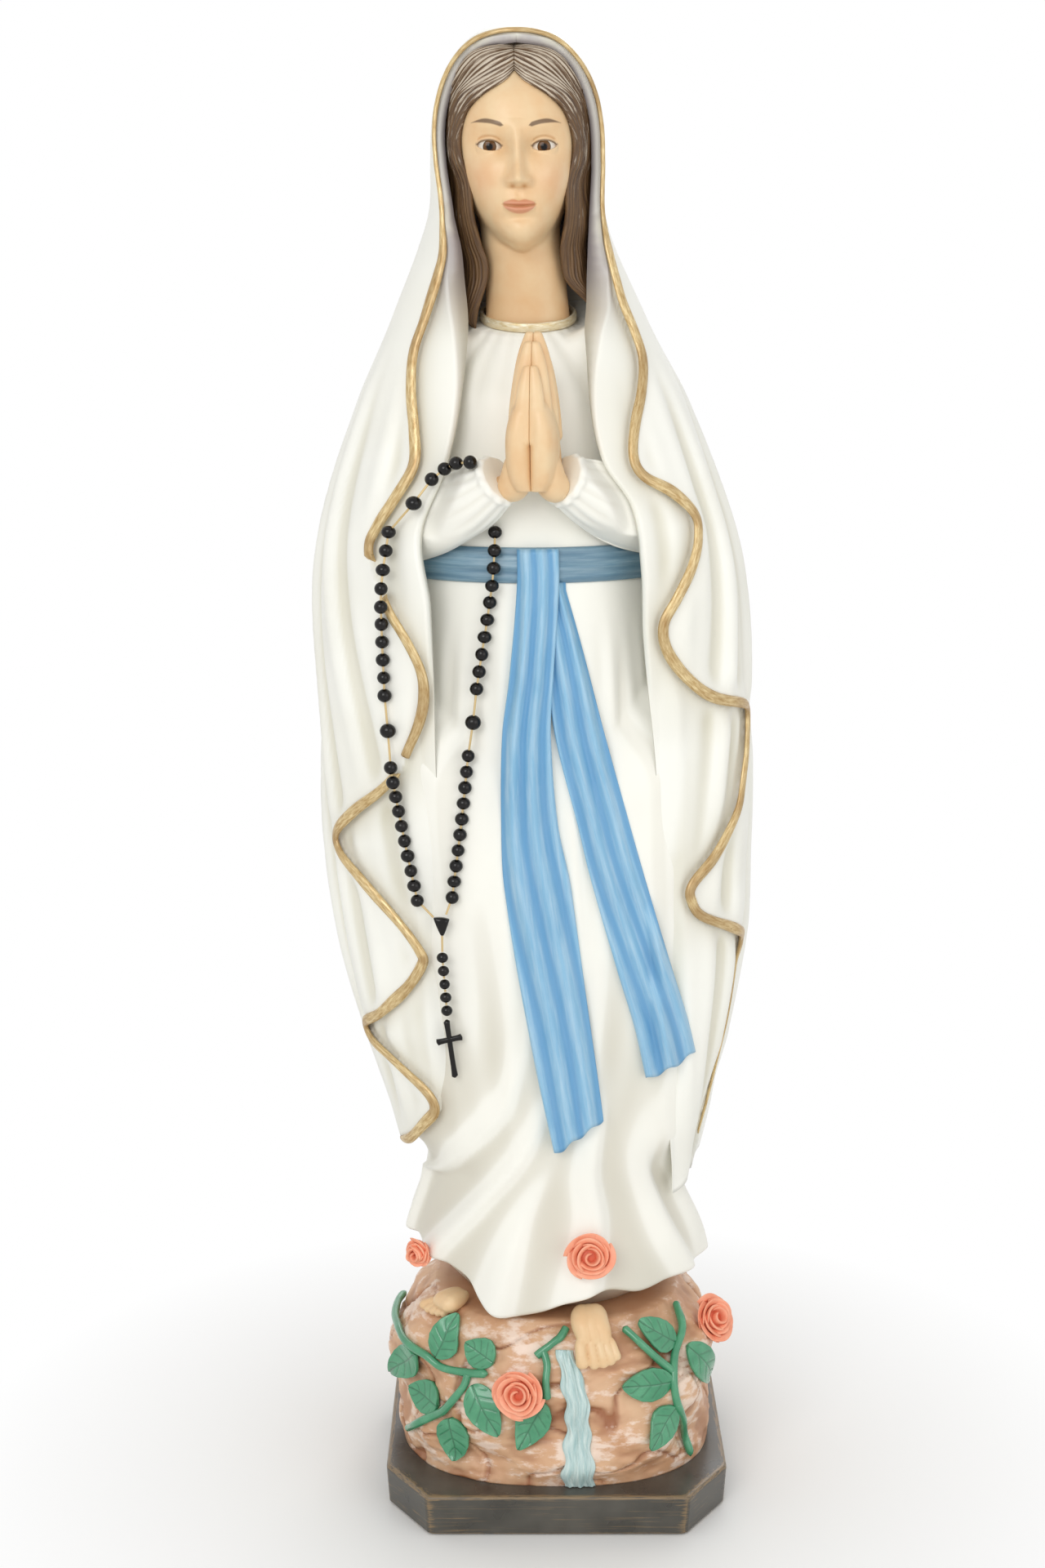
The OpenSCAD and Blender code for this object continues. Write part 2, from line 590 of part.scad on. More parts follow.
module neck_dowel() {
    color("burlywood") translate(neck - [0, 0, dowel_l / 2 - gap])
        cylinder(d = dowel_d - gap, h = dowel_l - 2 * gap);
}

module collar() {
    color("goldenrod") translate(neck) rotate([neckline_tilt, 0, 0]) translate([0, 0, gap / 2])
        rotate_extrude($fn = 64) translate([neck_w / 2 + 2.8, 0])
            polygon([[0, 0], [1.3, 0], [1.6, 1.5], [1.3, 3], [0, 3]]);
}

// Arms run from the elbow to the cuff; each point is [x, y, z, radius], measured from the waist
left_arm = [[-52, -20, 13, 14], [-44, -27, 16, 15], [-35, -36, 20, 15.5], [-23, -46, 26, 13.5],
    [-11, -54.6, 35, 9.3]];
right_arm = [[55, -20, 16, 14], [47, -27, 19, 15], [38, -36, 23, 15.5], [26, -46, 28, 13.5],
    [13.5, -55, 35, 9.5]];
function arm_point(p) = waist + [p[0], p[1], p[2]];

// Keeps a sleeve in front of the bodice and the belt, and under the mantle where that covers it
function between_cloths(p) =
    let (h = p[2] - figure_z, x = p[0] - axis_x(h), belt = ease((waist_h + belt_h / 2 + 10 - h) / 4),
        y = min(p[1], gown_y(x, h) - 1.5 - belt * (sash_t + 2 * gap)),
        covered = ease((abs(x) - mantle_edge(x, h) + 10) / 6))
    [p[0], mix(y, max(y, mantle_y(x, h) + mantle_wall + 2.2), covered), p[2]];

module sleeve(arm) {
    path = along(arm, 10);
    shape = rings([for (p = path) arm_point(p)],
        [for (i = [0 : 10]) let (r = path[i][3] * (1 + 0.035 * cos(200 * i))) [r, r]], [0, 0, 1], 16);
    tube = [for (ring = shape) [for (p = ring) between_cloths(p)]];
    loft(concat([drawn_in(tube[0], path[0])], tube, [drawn_in(tube[10], path[10])]));
}
function drawn_in(ring, p) = [for (q = ring) mix(arm_point(p), q, 0.1)];

hands = waist + [1.6, -61, 30];
left_wrist = [waist + [-24, -45.3, 27.5], waist + [-4, -59.7, 37]];
right_wrist = [waist + [27, -45.3, 28.5], waist + [7, -59.7, 37]];

module sleeve_left() {
    color("ivory") difference() {
        sleeve(left_arm);
        bar(left_wrist[0], left_wrist[1], dowel_d / 2);
    }
}

module sleeve_right() {
    color("ivory") difference() {
        sleeve(right_arm);
        bar(right_wrist[0], right_wrist[1], dowel_d / 2);
    }
}

module wrist_dowels() {
    color("burlywood") for (w = [left_wrist, right_wrist])
        bar(mix(w[0], w[1], 0.02), mix(w[0], w[1], 0.98), dowel_d / 2 - gap);
}

// Hand by u, little finger to index, and v, wrist to fingertip; side is -1 or 1
finger_length = [[0, 0.86], [0.25, 0.95], [0.5, 1], [0.75, 0.99], [1, 0.93]];
palm_breadth = [[0, 0.72], [0.3, 1], [0.55, 0.98], [0.85, 0.8], [1, 0.66]];
palm_thickness = [[0, 0.8], [0.22, 1], [0.5, 0.85], [0.8, 0.66], [1, 0.2]];
function hand_at(u, v, side, out) =
    let (f = 2 * (4 * u - floor(min(4 * u, 3.99))) - 1, split = ease((v - 0.42) / 0.1),
        round = sqrt(max(0, 1 - f * f)), palm = pow(max(0, 1 - pow(2 * u - 1, 4)), 0.5),
        t = hand_t * curve(palm_thickness, v) * mix(palm, 0.35 + 0.65 * round, split))
    [side * (gap / 2 + (out ? max(t, 0.8) : 0)), (u - 0.5) * hand_w * curve(palm_breadth, v),
        hand_l * v * mix(1, curve(finger_length, u) * (1 - 0.07 * f * f), ease((v - 0.5) * 2))];

module hand(side) {
    vs = [0, 0.12, 0.25, 0.38, 0.46, 0.54, 0.64, 0.74, 0.84, 0.93, 1];
    us = [for (i = [0 : 12]) side > 0 ? i / 12 : 1 - i / 12];
    translate(hands) rotate([0, 0, -8])
        slab([for (v = vs) [for (u = us) hand_at(u, v, side, true)]],
            [for (v = vs) [for (u = us) hand_at(u, v, side, false)]]);
}

module hand_left() {
    color("peachpuff") difference() {
        hand(-1);
        bar(left_wrist[0], left_wrist[1], dowel_d / 2);
    }
}

module hand_right() {
    color("peachpuff") difference() {
        hand(1);
        bar(right_wrist[0], right_wrist[1], dowel_d / 2);
    }
}

// Head by angle and by t, 0 at the chin and 1 at the crown; half-width, front and back of each level
head_y = -3;
head_half = [[neck_base, neck_w / 2 + 0.8], [-0.28, neck_w / 2], [-0.1, neck_w / 2 - 0.2], [0.02, 15.4],
    [0.1, head_w / 2 - 6.6], [0.22, head_w / 2 - 3.4], [0.4, head_w / 2 - 0.8], [0.55, head_w / 2],
    [0.75, head_w / 2 - 2.4], [0.88, head_w / 2 - 8.4], [0.96, head_w / 2 - 15.5], [1, 1.5]];
head_front = [[neck_base, 10.5], [-0.28, 11.5], [-0.1, 15], [-0.03, 24], [0.02, 31], [0.1, head_d / 2 + 1.6],
    [0.22, head_d / 2 + 2], [0.42, head_d / 2 + 1.4], [0.55, head_d / 2 + 2.4], [0.75, head_d / 2 - 0.6],
    [0.88, 21.5], [0.96, 12.5], [1, 2]];
head_back = [[neck_base, 18], [-0.1, 22], [0.1, head_d / 2 - 4], [0.4, head_d / 2], [0.55, head_d / 2 + 1],
    [0.75, head_d / 2 - 1], [0.88, 24], [0.96, 14], [1, 2]];
nose = [[0.24, 0], [0.28, 1], [0.34, 0.9], [0.46, 0.4], [0.54, 0.12], [0.6, 0]];
function head_at(a, t, off) =
    let (w = curve(head_half, t), x = (w + off) * sin(a), d = curve(cos(a) > 0 ? head_front : head_back, t),
        n = cos(a) > 0 ? 7 * bell(x, 4.5) * curve(nose, t) : 0,
        e = cos(a) > 0 ? 2.6 * bell(abs(x) - 10.5, 6) * bell(t - eye_level, 0.07) : 0)
    [head_x(t) + x, head_y - (d + off) * cos(a) - n + e, figure_z + chin_h + t * head_h];

eye_level = 0.49;
eyes = [for (s = [-1, 1])
    [head_x(eye_level) + s * 10.5, head_y - 22.8, figure_z + chin_h + eye_level * head_h]];

module head() {
    levels = [neck_base, -0.28, -0.1, -0.03, 0.02, 0.07, 0.13, 0.19, 0.24, 0.28, 0.34, 0.41, 0.48, 0.54, 0.62,
        0.72, 0.8, 0.88, 0.94, 0.98, 1];
    angles = [for (i = [0 : 27]) let (t = 360 * i / 28 - 180) t - 26 * sin(t)];
    color("peachpuff") difference() {
        loft([for (t = levels) [for (a = angles)
            let (p = head_at(a, t, 0)) t > neck_base ? p : tilted(p, neck_h) + [0, 0, gap / 2]]]);
        translate(neck - [0, 0, 20]) cylinder(d = dowel_d, h = 20 + dowel_l / 2);
        for (e = eyes) translate(e) sphere(d = eye_d + gap);
    }
}

module eye_left() {
    color("white") translate(eyes[0]) sphere(d = eye_d);
}

module eye_right() {
    color("white") translate(eyes[1]) sphere(d = eye_d);
}

hairline = [[-0.35, 58], [0.1, 55], [0.3, 53], [0.5, 50], [0.62, 43], [0.72, 28], [0.8, 9], [0.86, 2]];
hair_thickness = [[-0.35, 2], [-0.1, 2.2], [0.5, 1.7], [0.75, 1.2], [0.9, 0.9]];

module hair(side) {
    function lock(c, t, off) =
        let (a = side * mix(curve(hairline, t), 108, c / 6), p = head_at(a, max(t, 0.28), off),
            wave = 1.5 * sin(900 * t) * (1 - c / 6) * ease((0.5 - t) / 0.15))
        [p[0] + wave * side, p[1], figure_z + chin_h + t * head_h];
    ts = [-0.35, -0.23, -0.11, 0.01, 0.13, 0.25, 0.38, 0.5, 0.6, 0.69, 0.77, 0.84, 0.9];
    cs = [for (j = [0 : 6]) side > 0 ? j : 6 - j];
    color("saddlebrown") slab(
        [for (t = ts) [for (c = cs) lock(c, t, 1.2 + curve(hair_thickness, t))]],
        [for (t = ts) [for (c = cs) lock(c, t, 1.2)]]);
}

module hair_left() hair(-1);
module hair_right() hair(1);

// Mantle: a wall from the left front edge round the back to the right one, closing over the head
module mantle() {
    n = 24;
    body = 15;
    open = concat([for (i = [0 : body]) i / body],
        [temple_h - 20, temple_h - 10, temple_h, temple_h + 11, veil_h - 28, veil_h - 20, veil_h - 14,
            veil_h - 10, veil_h - 7.2, veil_h - 5.4]);
    closed = [arch_h, veil_h - 2.6, veil_h - 1];
    k = len(open);
    size = k * (n + 1) + len(closed) * n + 1;
    top = chin_h + 4;
    function across(c, h) = -mix(curve(edge_left, h), 360 - curve(edge_right, h), c / n);
    function point(i, c, off) =
        let (q = open[i], h = q > 1 ? q : mix(curve(mantle_hem, across(c, 60)), top, q))
        mantle_at(across(c, h), h, off);
    function sheet(off) =
        concat([for (i = [0 : k - 1]) for (c = [0 : n]) point(i, c, off)],
            [for (h = closed) for (c = [0 : n - 1]) mantle_at(across(c, h), h, off)],
            [mantle_at(0, veil_h, off)]);
    function id(r, c) =
        r < k ? r * (n + 1) + c
        : r < k + len(closed) ? k * (n + 1) + (r - k) * n + c % n
        : size - 1;
    last = k + len(closed) - 1;
    cells = [for (r = [0 : last]) for (c = [0 : n - 1])
        for (t = [[id(r, c), id(r, c + 1), id(r + 1, c + 1)], [id(r, c), id(r + 1, c + 1), id(r + 1, c)]])
            if (t[1] != t[2]) t];
    rim = concat(
        [for (r = [0 : k - 1]) [id(r + 1, 0), id(r, 0)]],
        [for (c = [0 : n - 1]) [id(0, c), id(0, c + 1)]],
        [for (r = [0 : k - 1]) [id(r, n), id(r + 1, n)]]);
    color("whitesmoke") polyhedron(
        concat(sheet(0), sheet(-mantle_wall)),
        concat(cells, [for (t = cells) [t[0] + size, t[2] + size, t[1] + size]],
            [for (e = rim) for (t = [[e[1], e[0], e[0] + size], [e[1], e[0] + size, e[1] + size]]) t]));
}

// Edging: from the left hem up over the head and down the right side, as [angle, height] points
edging = [[-76, 67], [-61, 72], [-47, 83], [-41, 90], [-44, 97.6], [-57, 107], [-71, 113.5], [-74, 119],
    [-59, 127], [-44, 140], [-36, 152], [-36, 158], [-43, 170], [-56, 184], [-69, 195], [-70, 202], [-58, 213],
    [-46, 223], [-38, 233], [-35.5, 240], [-31, 253], [-29, 264], [-29.5, 275], [-33.5, 287], [-40, 301],
    [-47, 321], [-45, 331], [-40, 342], [-35, 355], [-37, 368], [-42, 384], [-46, 399], [-45, 412], [-44, 428],
    [-45, 438], [-53, 451], [-64, 474], [-67, 485], [-67, 497], [-64, 507], [-57, 513], [-44, 517],
    [-22, 519], [0, 519.4], [22, 519], [44, 517], [57, 513], [67, 506], [73, 497], [75, 484], [74, 461],
    [64, 440], [60, 431], [56, 418], [56, 406], [54, 396], [46, 383], [39, 371], [35, 359], [37, 351],
    [47, 344], [54, 335], [53, 326], [48, 315], [41, 303], [36, 293], [37, 282], [44, 270], [55, 261],
    [78, 254], [80, 245], [72, 228], [67, 213], [55, 196], [45, 185], [44.5, 178], [50, 170], [69, 161],
    [84, 153], [88, 136], [88, 114], [83, 98], [80, 84], [78, 68]];

module mantle_trim() {
    path = [for (p = along(edging, 104)) [p[0], up(p[1])]];
    n = len(path) - 1;
    function at(i) = mantle_at(path[i][0], path[i][1], 0);
    function row(i, lift) =
        let (t = unit(at(min(i + 1, n)) - at(max(i - 1, 0))), o = mantle_out(path[i][0], path[i][1]),
            s = cross(t, o))
        [for (j = [-1 : 1]) at(i) + s * j * trim_w / 2 + o * (1.2 + lift * (j == 0 ? trim_t : 0.5))];
    color("goldenrod") slab([for (i = [0 : n]) row(i, 1)], [for (i = [0 : n]) row(i, 0)]);
}

module sash_belt() {
    function row(s, off) =
        [for (i = [-9 : 9]) gown_at(8 * i, waist_h + s * belt_h / 2, off * (1 - 0.25 * s * s))];
    color("skyblue") slab([for (s = [-1, 0, 1]) row(s, gap + sash_t)], [for (s = [-1, 0, 1]) row(s, gap)]);
}

// Sash tails: middle and breadth by height, measured from the axis
long_middle = raised([[74, 12.5], [113, 7.2], [151, 2.4], [186, -1.3], [211, -3.5], [248, -3.4],
    [272, -0.5], [308, 3.5], [324, 4]]);
long_breadth = raised([[74, tail_w], [113, tail_w + 3], [186, tail_w + 5], [211, tail_w + 1],
    [248, tail_w - 2.5], [272, tail_w - 4.5], [324, tail_w - 5.5]]);
short_middle = raised([[106, 47], [126, 45], [151, 40], [189, 31.3], [211, 26.4], [248, 18], [284, 12.4],
    [306, 9]]);
short_breadth = raised([[106, tail_w + 1], [189, tail_w], [211, tail_w - 1], [248, tail_w - 2],
    [284, tail_w - 7], [306, tail_w - 11]]);

module tail(middle, breadth, low, high, slant, under) {
    m = 15;
    function at(i, j, lift) =
        let (v = i / m, u = j / 3, h = mix(low + slant * (u + 1) / 2, high, v), b = curve(breadth, h) / 2,
            base = gap + (under ? 0 : (sash_t + gap) * ease((h - up(205)) / 40)),
            flute = 0.5 * cos(360 * u + 60) * ease((high - h) / 60))
        on_cloth(curve(middle, h) + u * b, h, base + lift * (sash_t + flute));
    slab([for (i = [0 : m]) [for (j = [-3 : 3]) at(i, j, 1)]],
        [for (i = [0 : m]) [for (j = [-3 : 3]) at(i, j, 0)]]);
}

module sash_tail_long() {
    color("lightskyblue") tail(long_middle, long_breadth, up(74), waist_h + belt_h / 2, 14, false);
}

module sash_tail_short() {
    color("lightskyblue") tail(short_middle, short_breadth, up(106), waist_h - belt_h / 2 - gap, 9, true);
}

// Rosary: two strands by height and distance from the axis, joined at the centre piece
left_strand = raised([[180, -50.2], [211, -55.3], [235, -58.3], [250, -58.8], [264, -59.4], [307, -58.2],
    [330, -54.2]]);
right_strand = raised([[181, -36.1], [214, -30.7], [240, -27], [254, -24.4], [267, -22.5], [310, -14.4],
    [332, -12.4]]);
over_trim = raised([[180, 0], [220, 0], [226, 2], [237, 2], [243, 0], [292, 0], [298, 3], [313, 3],
    [319, 0]]);
function over_belt(h) = (sash_t + gap) * ease((belt_h / 2 + 5 - abs(h - waist_h)) / 3);
function left_bead(h, d) = on_cloth(curve(left_strand, h), h, d / 2 + 2 * gap + curve(over_trim, h));
function right_bead(h, d) = on_cloth(curve(right_strand, h), h, d / 2 + gap / 2 + over_belt(h));
left_upper = [for (i = [0 : 9]) left_bead(up(264 + 7.3 * i), bead_d)];
left_lower = [for (i = [0 : 9]) left_bead(up(235 - 6.1 * i), bead_d)];
right_upper = [for (i = [0 : 9]) right_bead(up(267 + 6.9 * i), bead_d)];
right_lower = [for (i = [0 : 9]) right_bead(up(240 - 6.5 * i), bead_d)];
arm_beads = [[-37.6, -52.5, 34.6], [-32.6, -52.5, 38.6], [-28, -55, 41], [-22.5, -58.4, 41.6]];
on_arm = [for (p = arm_beads) arm_point(p)];
pendant = [for (i = [0 : 4]) on_cloth(-41 + 0.2 * i, up(157 - 5.6 * i), bead_d / 2 + gap)];
large_beads = [left_bead(up(249.7), large_bead_d), right_bead(up(253.6), large_bead_d),
    arm_point([-44.6, -54.5, 25.5])];
medal = on_cloth(-40.6, up(170), 2);
cross_top = on_cloth(-40.6, up(129.5), 1.1);

module rosary_beads() {
    color("black") for (p = concat(left_upper, left_lower, right_upper, right_lower, on_arm, pendant))
        translate(p) sphere(d = bead_d, $fn = 24);
}

module rosary_large_beads() {
    color("black") for (p = large_beads) translate(p) sphere(d = large_bead_d, $fn = 24);
}

// Link of wire from one bead's skin to the next
module link(a, b, ra, rb) {
    d = unit(b - a);
    if (norm(b - a) > ra + rb + 0.4) bar(a + d * ra, b - d * rb, wire_d);
}

module run(list) {
    for (i = [0 : len(list) - 2]) link(list[i], list[i + 1], bead_d / 2, bead_d / 2);
}

module rosary_chain() {
    r = bead_d / 2;
    q = large_bead_d / 2;
    color("goldenrod") {
        run(left_upper);
        run(left_lower);
        run(right_upper);
        run(right_lower);
        run(on_arm);
        run(pendant);
        link(left_upper[0], large_beads[0], r, q);
        link(large_beads[0], left_lower[0], q, r);
        link(right_upper[0], large_beads[1], r, q);
        link(large_beads[1], right_lower[0], q, r);
        link(left_upper[9], large_beads[2], r, q);
        link(large_beads[2], on_arm[0], q, r);
        link(left_lower[9], medal, r, 5);
        link(right_lower[9], medal, r, 5);
        link(medal, pendant[0], 4, r);
    }
}

module rosary_centre() {
    color("black") translate(medal) rotate([90, 0, 0]) translate([0, 0, -0.8]) linear_extrude(1.6)
        polygon([[-3.4, 3.4], [3, 2.4], [0.6, -3.6], [-0.4, -3.6]]);
}

module crucifix() {
    color("black") translate(cross_top) rotate([0, -8, 0]) {
        translate([-1, -0.8, -24]) cube([2, 1.6, 24]);
        rotate([0, -5, 0]) translate([-5, -0.8, -9]) cube([10, 1.6, 2]);
    }
}

felt_pad();
plinth();
base_screws();
rock_mound();
stream();
foot_front();
foot_side();
vine_left();
vine_centre();
vine_right();
leaves_left();
leaves_right();
rose_front();
rose_hem();
rose_left();
rose_right();
figure_dowels();
gown_skirt();
waist_dowel();
gown_bodice();
collar();
sleeve_left();
sleeve_right();
wrist_dowels();
hand_left();
hand_right();
neck_dowel();
head();
eye_left();
eye_right();
hair_left();
hair_right();
mantle();
mantle_trim();
sash_belt();
sash_tail_long();
sash_tail_short();
rosary_beads();
rosary_large_beads();
rosary_chain();
rosary_centre();
crucifix();
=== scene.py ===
# Looks of a painted devotional statue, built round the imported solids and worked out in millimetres.
import itertools

import bpy
import numpy as np
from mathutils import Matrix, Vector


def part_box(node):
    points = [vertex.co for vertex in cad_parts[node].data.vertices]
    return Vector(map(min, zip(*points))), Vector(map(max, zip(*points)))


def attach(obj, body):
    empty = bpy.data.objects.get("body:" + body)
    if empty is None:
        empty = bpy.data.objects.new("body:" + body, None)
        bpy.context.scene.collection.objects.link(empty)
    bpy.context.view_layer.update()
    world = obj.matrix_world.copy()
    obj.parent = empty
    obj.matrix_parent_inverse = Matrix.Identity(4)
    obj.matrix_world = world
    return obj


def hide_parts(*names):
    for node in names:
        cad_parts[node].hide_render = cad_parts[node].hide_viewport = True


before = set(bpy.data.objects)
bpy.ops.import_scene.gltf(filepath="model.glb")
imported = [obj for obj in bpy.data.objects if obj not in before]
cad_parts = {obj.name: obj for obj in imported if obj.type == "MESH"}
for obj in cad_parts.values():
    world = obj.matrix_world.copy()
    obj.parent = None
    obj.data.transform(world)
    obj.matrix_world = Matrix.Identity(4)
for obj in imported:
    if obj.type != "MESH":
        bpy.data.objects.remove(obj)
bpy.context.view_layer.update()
mm = 0.001  # metres in a millimetre
print("frame:", len(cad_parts), "solids")


# Small formulas
def clampTo(v, lo, hi):  # kept between two limits
    return np.minimum(np.maximum(v, lo), hi)


def ease(t):  # 3t² - 2t³ between 0 and 1
    c = clampTo(t, 0.0, 1.0)
    return c * c * (3 - 2 * c)


def mix(a, b, t):  # a at 0 and b at 1, straight between them
    return a + (b - a) * t


def bell(v, w):  # exp(-(v/w)²)
    return np.exp(-(v / w) ** 2)


def sind(a):  # sine and cosine of degrees, as angles are in throughout
    return np.sin(np.radians(a))


def cosd(a):
    return np.cos(np.radians(a))


def power(v, e):  # power that keeps its sign
    return np.sign(v) * np.abs(v) ** e


def unit(v):  # vectors brought to length 1
    return v / np.maximum(np.linalg.norm(v, axis=-1, keepdims=True), 1e-9)


def turned(a):  # an angle brought between -180 and 180
    return ((a + 180) % 360) - 180


def swung(x, y, angle):  # a pair turned by an angle in radians: x cos - y sin, x sin + y cos
    c, s = np.cos(angle), np.sin(angle)
    return x * c - y * s, x * s + y * c


def stacked(*parts):  # x, y, z arrays as one array of points
    return np.stack(np.broadcast_arrays(*parts), -1).astype(float)


def throughKnots(knots, s):  # cubic through [place, value] knots, sloped as the neighbours' chord
    place = np.array([k[0] for k in knots], float)
    value = np.array([k[1] for k in knots], float)
    last = len(place) - 1
    before = np.maximum(np.arange(last + 1) - 1, 0)
    after = np.minimum(np.arange(last + 1) + 1, last)
    run = place[after] - place[before]
    slope = (value[after] - value[before]) / (run if value.ndim == 1 else run[:, None])
    s = np.asarray(s, float)
    i = clampTo(np.searchsorted(place, s, side="right") - 1, 0, last - 1)
    h = place[i + 1] - place[i]
    t = clampTo((s - place[i]) / h, 0, 1)
    if value.ndim > 1:
        t, h = t[..., None], h[..., None]
    d = value[i + 1] - value[i]
    m, n = slope[i] * h, slope[i + 1] * h
    return value[i] + t * (m + t * (3 * d - 2 * m - n + t * (m + n - 2 * d)))


def valuesAt(form, s, *keys):  # several of a dictionary's knot tables at the same place
    return [throughKnots(form[key], s) for key in keys]


def smoothRoute(points, count):  # count points along a smooth curve through a list
    return throughKnots(list(enumerate(points)), np.linspace(0, len(points) - 1, count))


hashForm = {"primes": (73856093, 19349663, 83492791), "seedPrime": 2654435, "mask": 0x7fffffff,
            "apart": 13.7}


def valueNoise(p, size, seed=0):  # hashed lattice values eased between corners, -1 to 1
    q = np.asarray(p, float) / size + hashForm["apart"] * (seed + 1)
    i = np.floor(q).astype(np.int64)
    f = ease(q - i)
    mask = hashForm["mask"]
    total = 0.0
    for corner in itertools.product((0, 1), repeat=3):
        c = i + np.array(corner)
        key = seed * hashForm["seedPrime"]
        for axis, prime in enumerate(hashForm["primes"]):
            key = key ^ (c[..., axis] * prime)
        key = ((key & mask) * 1103515245 + 12345) & mask
        key = ((key >> 7) * 69069 + 1) & mask
        total = total + np.prod(np.where(corner, f, 1 - f), axis=-1) * key / mask
    return 2 * total - 1


def layeredNoise(p, size, seed=0, layers=3):  # each layer half the size and half the strength
    return sum(valueNoise(p, size / 2 ** k, seed + k) / 2 ** k for k in range(layers))


# Meshes: a part is (points, faces, fields) with faces as arrays of 4 or 3 corners
def gridFaces(rows, cols, wrap=False):  # quads between neighbouring rows and columns
    r, c = np.meshgrid(np.arange(rows - 1), np.arange(cols - (0 if wrap else 1)), indexing="ij")
    d = (c + 1) % cols
    corners = [r * cols + c, r * cols + d, (r + 1) * cols + d, (r + 1) * cols + c]
    return np.stack(corners, -1).reshape(-1, 4)


def spread(fields, shape):  # fields as flat arrays of one value a point
    flat = {}
    for key, value in fields.items():
        each = np.shape(value)[len(shape):]
        flat[key] = np.broadcast_to(value, shape + each).reshape((-1,) + each)
    return flat


def tubePart(rings, **fields):  # rings closed round their columns, both ends drawn to a middle point
    m, n = rings.shape[:2]
    first, last = rings[0].mean(0), rings[-1].mean(0)
    points = np.concatenate([rings.reshape(-1, 3), [first, last]])
    c = np.arange(n)
    d = (c + 1) % n
    ends = np.concatenate([np.stack([d, c, np.full(n, m * n)], -1),
                           np.stack([(m - 1) * n + c, (m - 1) * n + d, np.full(n, m * n + 1)], -1)])
    flat = {k: np.concatenate([v, v[:1], v[-1:]]) for k, v in spread(fields, (m, n)).items()}
    return points, [gridFaces(m, n, True), ends], flat


def slabPart(front, back, **fields):  # two sheets on the same grid, joined round their rim
    m, n = front.shape[:2]
    w = m * n
    rim = np.concatenate([np.arange(n - 1), np.arange(m - 1) * n + n - 1, w - 1 - np.arange(n - 1),
                          (m - 1 - np.arange(m - 1)) * n])
    nextOn = np.roll(rim, -1)
    sides = np.stack([nextOn, rim, rim + w, nextOn + w], -1)
    flat = {k: np.concatenate([v, v]) for k, v in spread(fields, (m, n)).items()}
    points = np.concatenate([front.reshape(-1, 3), back.reshape(-1, 3)])
    return points, [gridFaces(m, n), gridFaces(m, n)[:, ::-1] + w, sides], flat


def joinParts(parts):  # several parts as one, each with its corner numbers moved on
    points, faces, fields, start = [], [], {}, 0
    for p, f, extra in parts:
        points.append(p)
        faces += [block + start for block in f]
        for key, value in extra.items():
            fields.setdefault(key, []).append(value)
        start += len(p)
    return np.concatenate(points), faces, {k: np.concatenate(v) for k, v in fields.items()}


def welded(part):  # merges points that coincide and turns collapsed quads into triangles
    points, faces, fields = part
    _, keep, index = np.unique(np.round(points, 4), axis=0, return_index=True, return_inverse=True)
    index = index.reshape(-1)
    blocks = []
    for block in faces:
        b = index[block]
        if b.shape[1] == 3:
            blocks.append(b[(b[:, 0] != b[:, 1]) & (b[:, 1] != b[:, 2]) & (b[:, 2] != b[:, 0])])
            continue
        same = b == np.roll(b, -1, axis=1)
        count = same.sum(1)
        blocks.append(b[count == 0])
        for k in range(4):
            blocks.append(np.delete(b[(count == 1) & same[:, k]], k, axis=1))
    return points[keep], [b for b in blocks if len(b)], {k: v[keep] for k, v in fields.items()}


def turnedOut(part):  # flips the faces of a closed part whose volume comes out negative
    points, faces, fields = part
    volume = 0.0
    for b in faces:
        for k in range(1, b.shape[1] - 1):
            p, q, r = points[b[:, 0]], points[b[:, k]], points[b[:, k + 1]]
            volume += np.einsum("ij,ij->", p, np.cross(q, r))
    return points, [b[:, ::-1] for b in faces] if volume < 0 else faces, fields


def meshFrom(name, part):  # a mesh in metres, smooth all over, from a part in millimetres
    points, faces, fields = part
    mesh = bpy.data.meshes.new(name)
    corners = np.concatenate([b.ravel() for b in faces]).astype(np.int32)
    sizes = np.concatenate([np.full(len(b), b.shape[1]) for b in faces])
    mesh.vertices.add(len(points))
    mesh.vertices.foreach_set("co", (points * mm).astype(np.float32).ravel())
    mesh.loops.add(len(corners))
    mesh.loops.foreach_set("vertex_index", corners)
    mesh.polygons.add(len(sizes))
    starts = np.concatenate([[0], np.cumsum(sizes)[:-1]])
    mesh.polygons.foreach_set("loop_start", starts.astype(np.int32))
    mesh.polygons.foreach_set("use_smooth", np.ones(len(sizes), bool))
    mesh.update(calc_edges=True)
    for key, value in fields.items():
        addField(mesh, key, value, corners)
    return mesh


def addField(mesh, key, value, corners=None):  # a number, a colour or a UV pair at each point
    value = np.asarray(value, np.float32)
    if value.ndim == 1:
        mesh.attributes.new(key, "FLOAT", "POINT").data.foreach_set("value", value)
    elif value.shape[1] == 2:
        mesh.uv_layers.new(name=key).data.foreach_set("uv", value[corners].ravel())
    else:
        mesh.attributes.new(key, "FLOAT_COLOR", "POINT").data.foreach_set("color", value.ravel())


def pieceName(node):  # sash_belt becomes sashBelt
    first, *others = node.split("_")
    return first + "".join(word.title() for word in others)


# Closed parts joined into one object for a node, painted with the named paint
def addPiece(node, parts, paint, slot=None):
    name = pieceName(node)
    part = joinParts([turnedOut(welded(p)) for p in parts])
    made = bpy.data.objects.new(name, meshFrom(name, part))
    return settle(made, paints[paint], slot or paint, node)


def settle(made, material, slot, *nodes):  # paints an object and names its body and nodes; the slot is not used
    if made.name not in bpy.context.scene.collection.objects:
        bpy.context.scene.collection.objects.link(made)
    made.data.materials.clear()
    made.data.materials.append(material)
    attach(made, "root")
    if nodes:
        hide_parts(*nodes)
    print("piece:", made.name, len(made.data.polygons), "faces")
    return made


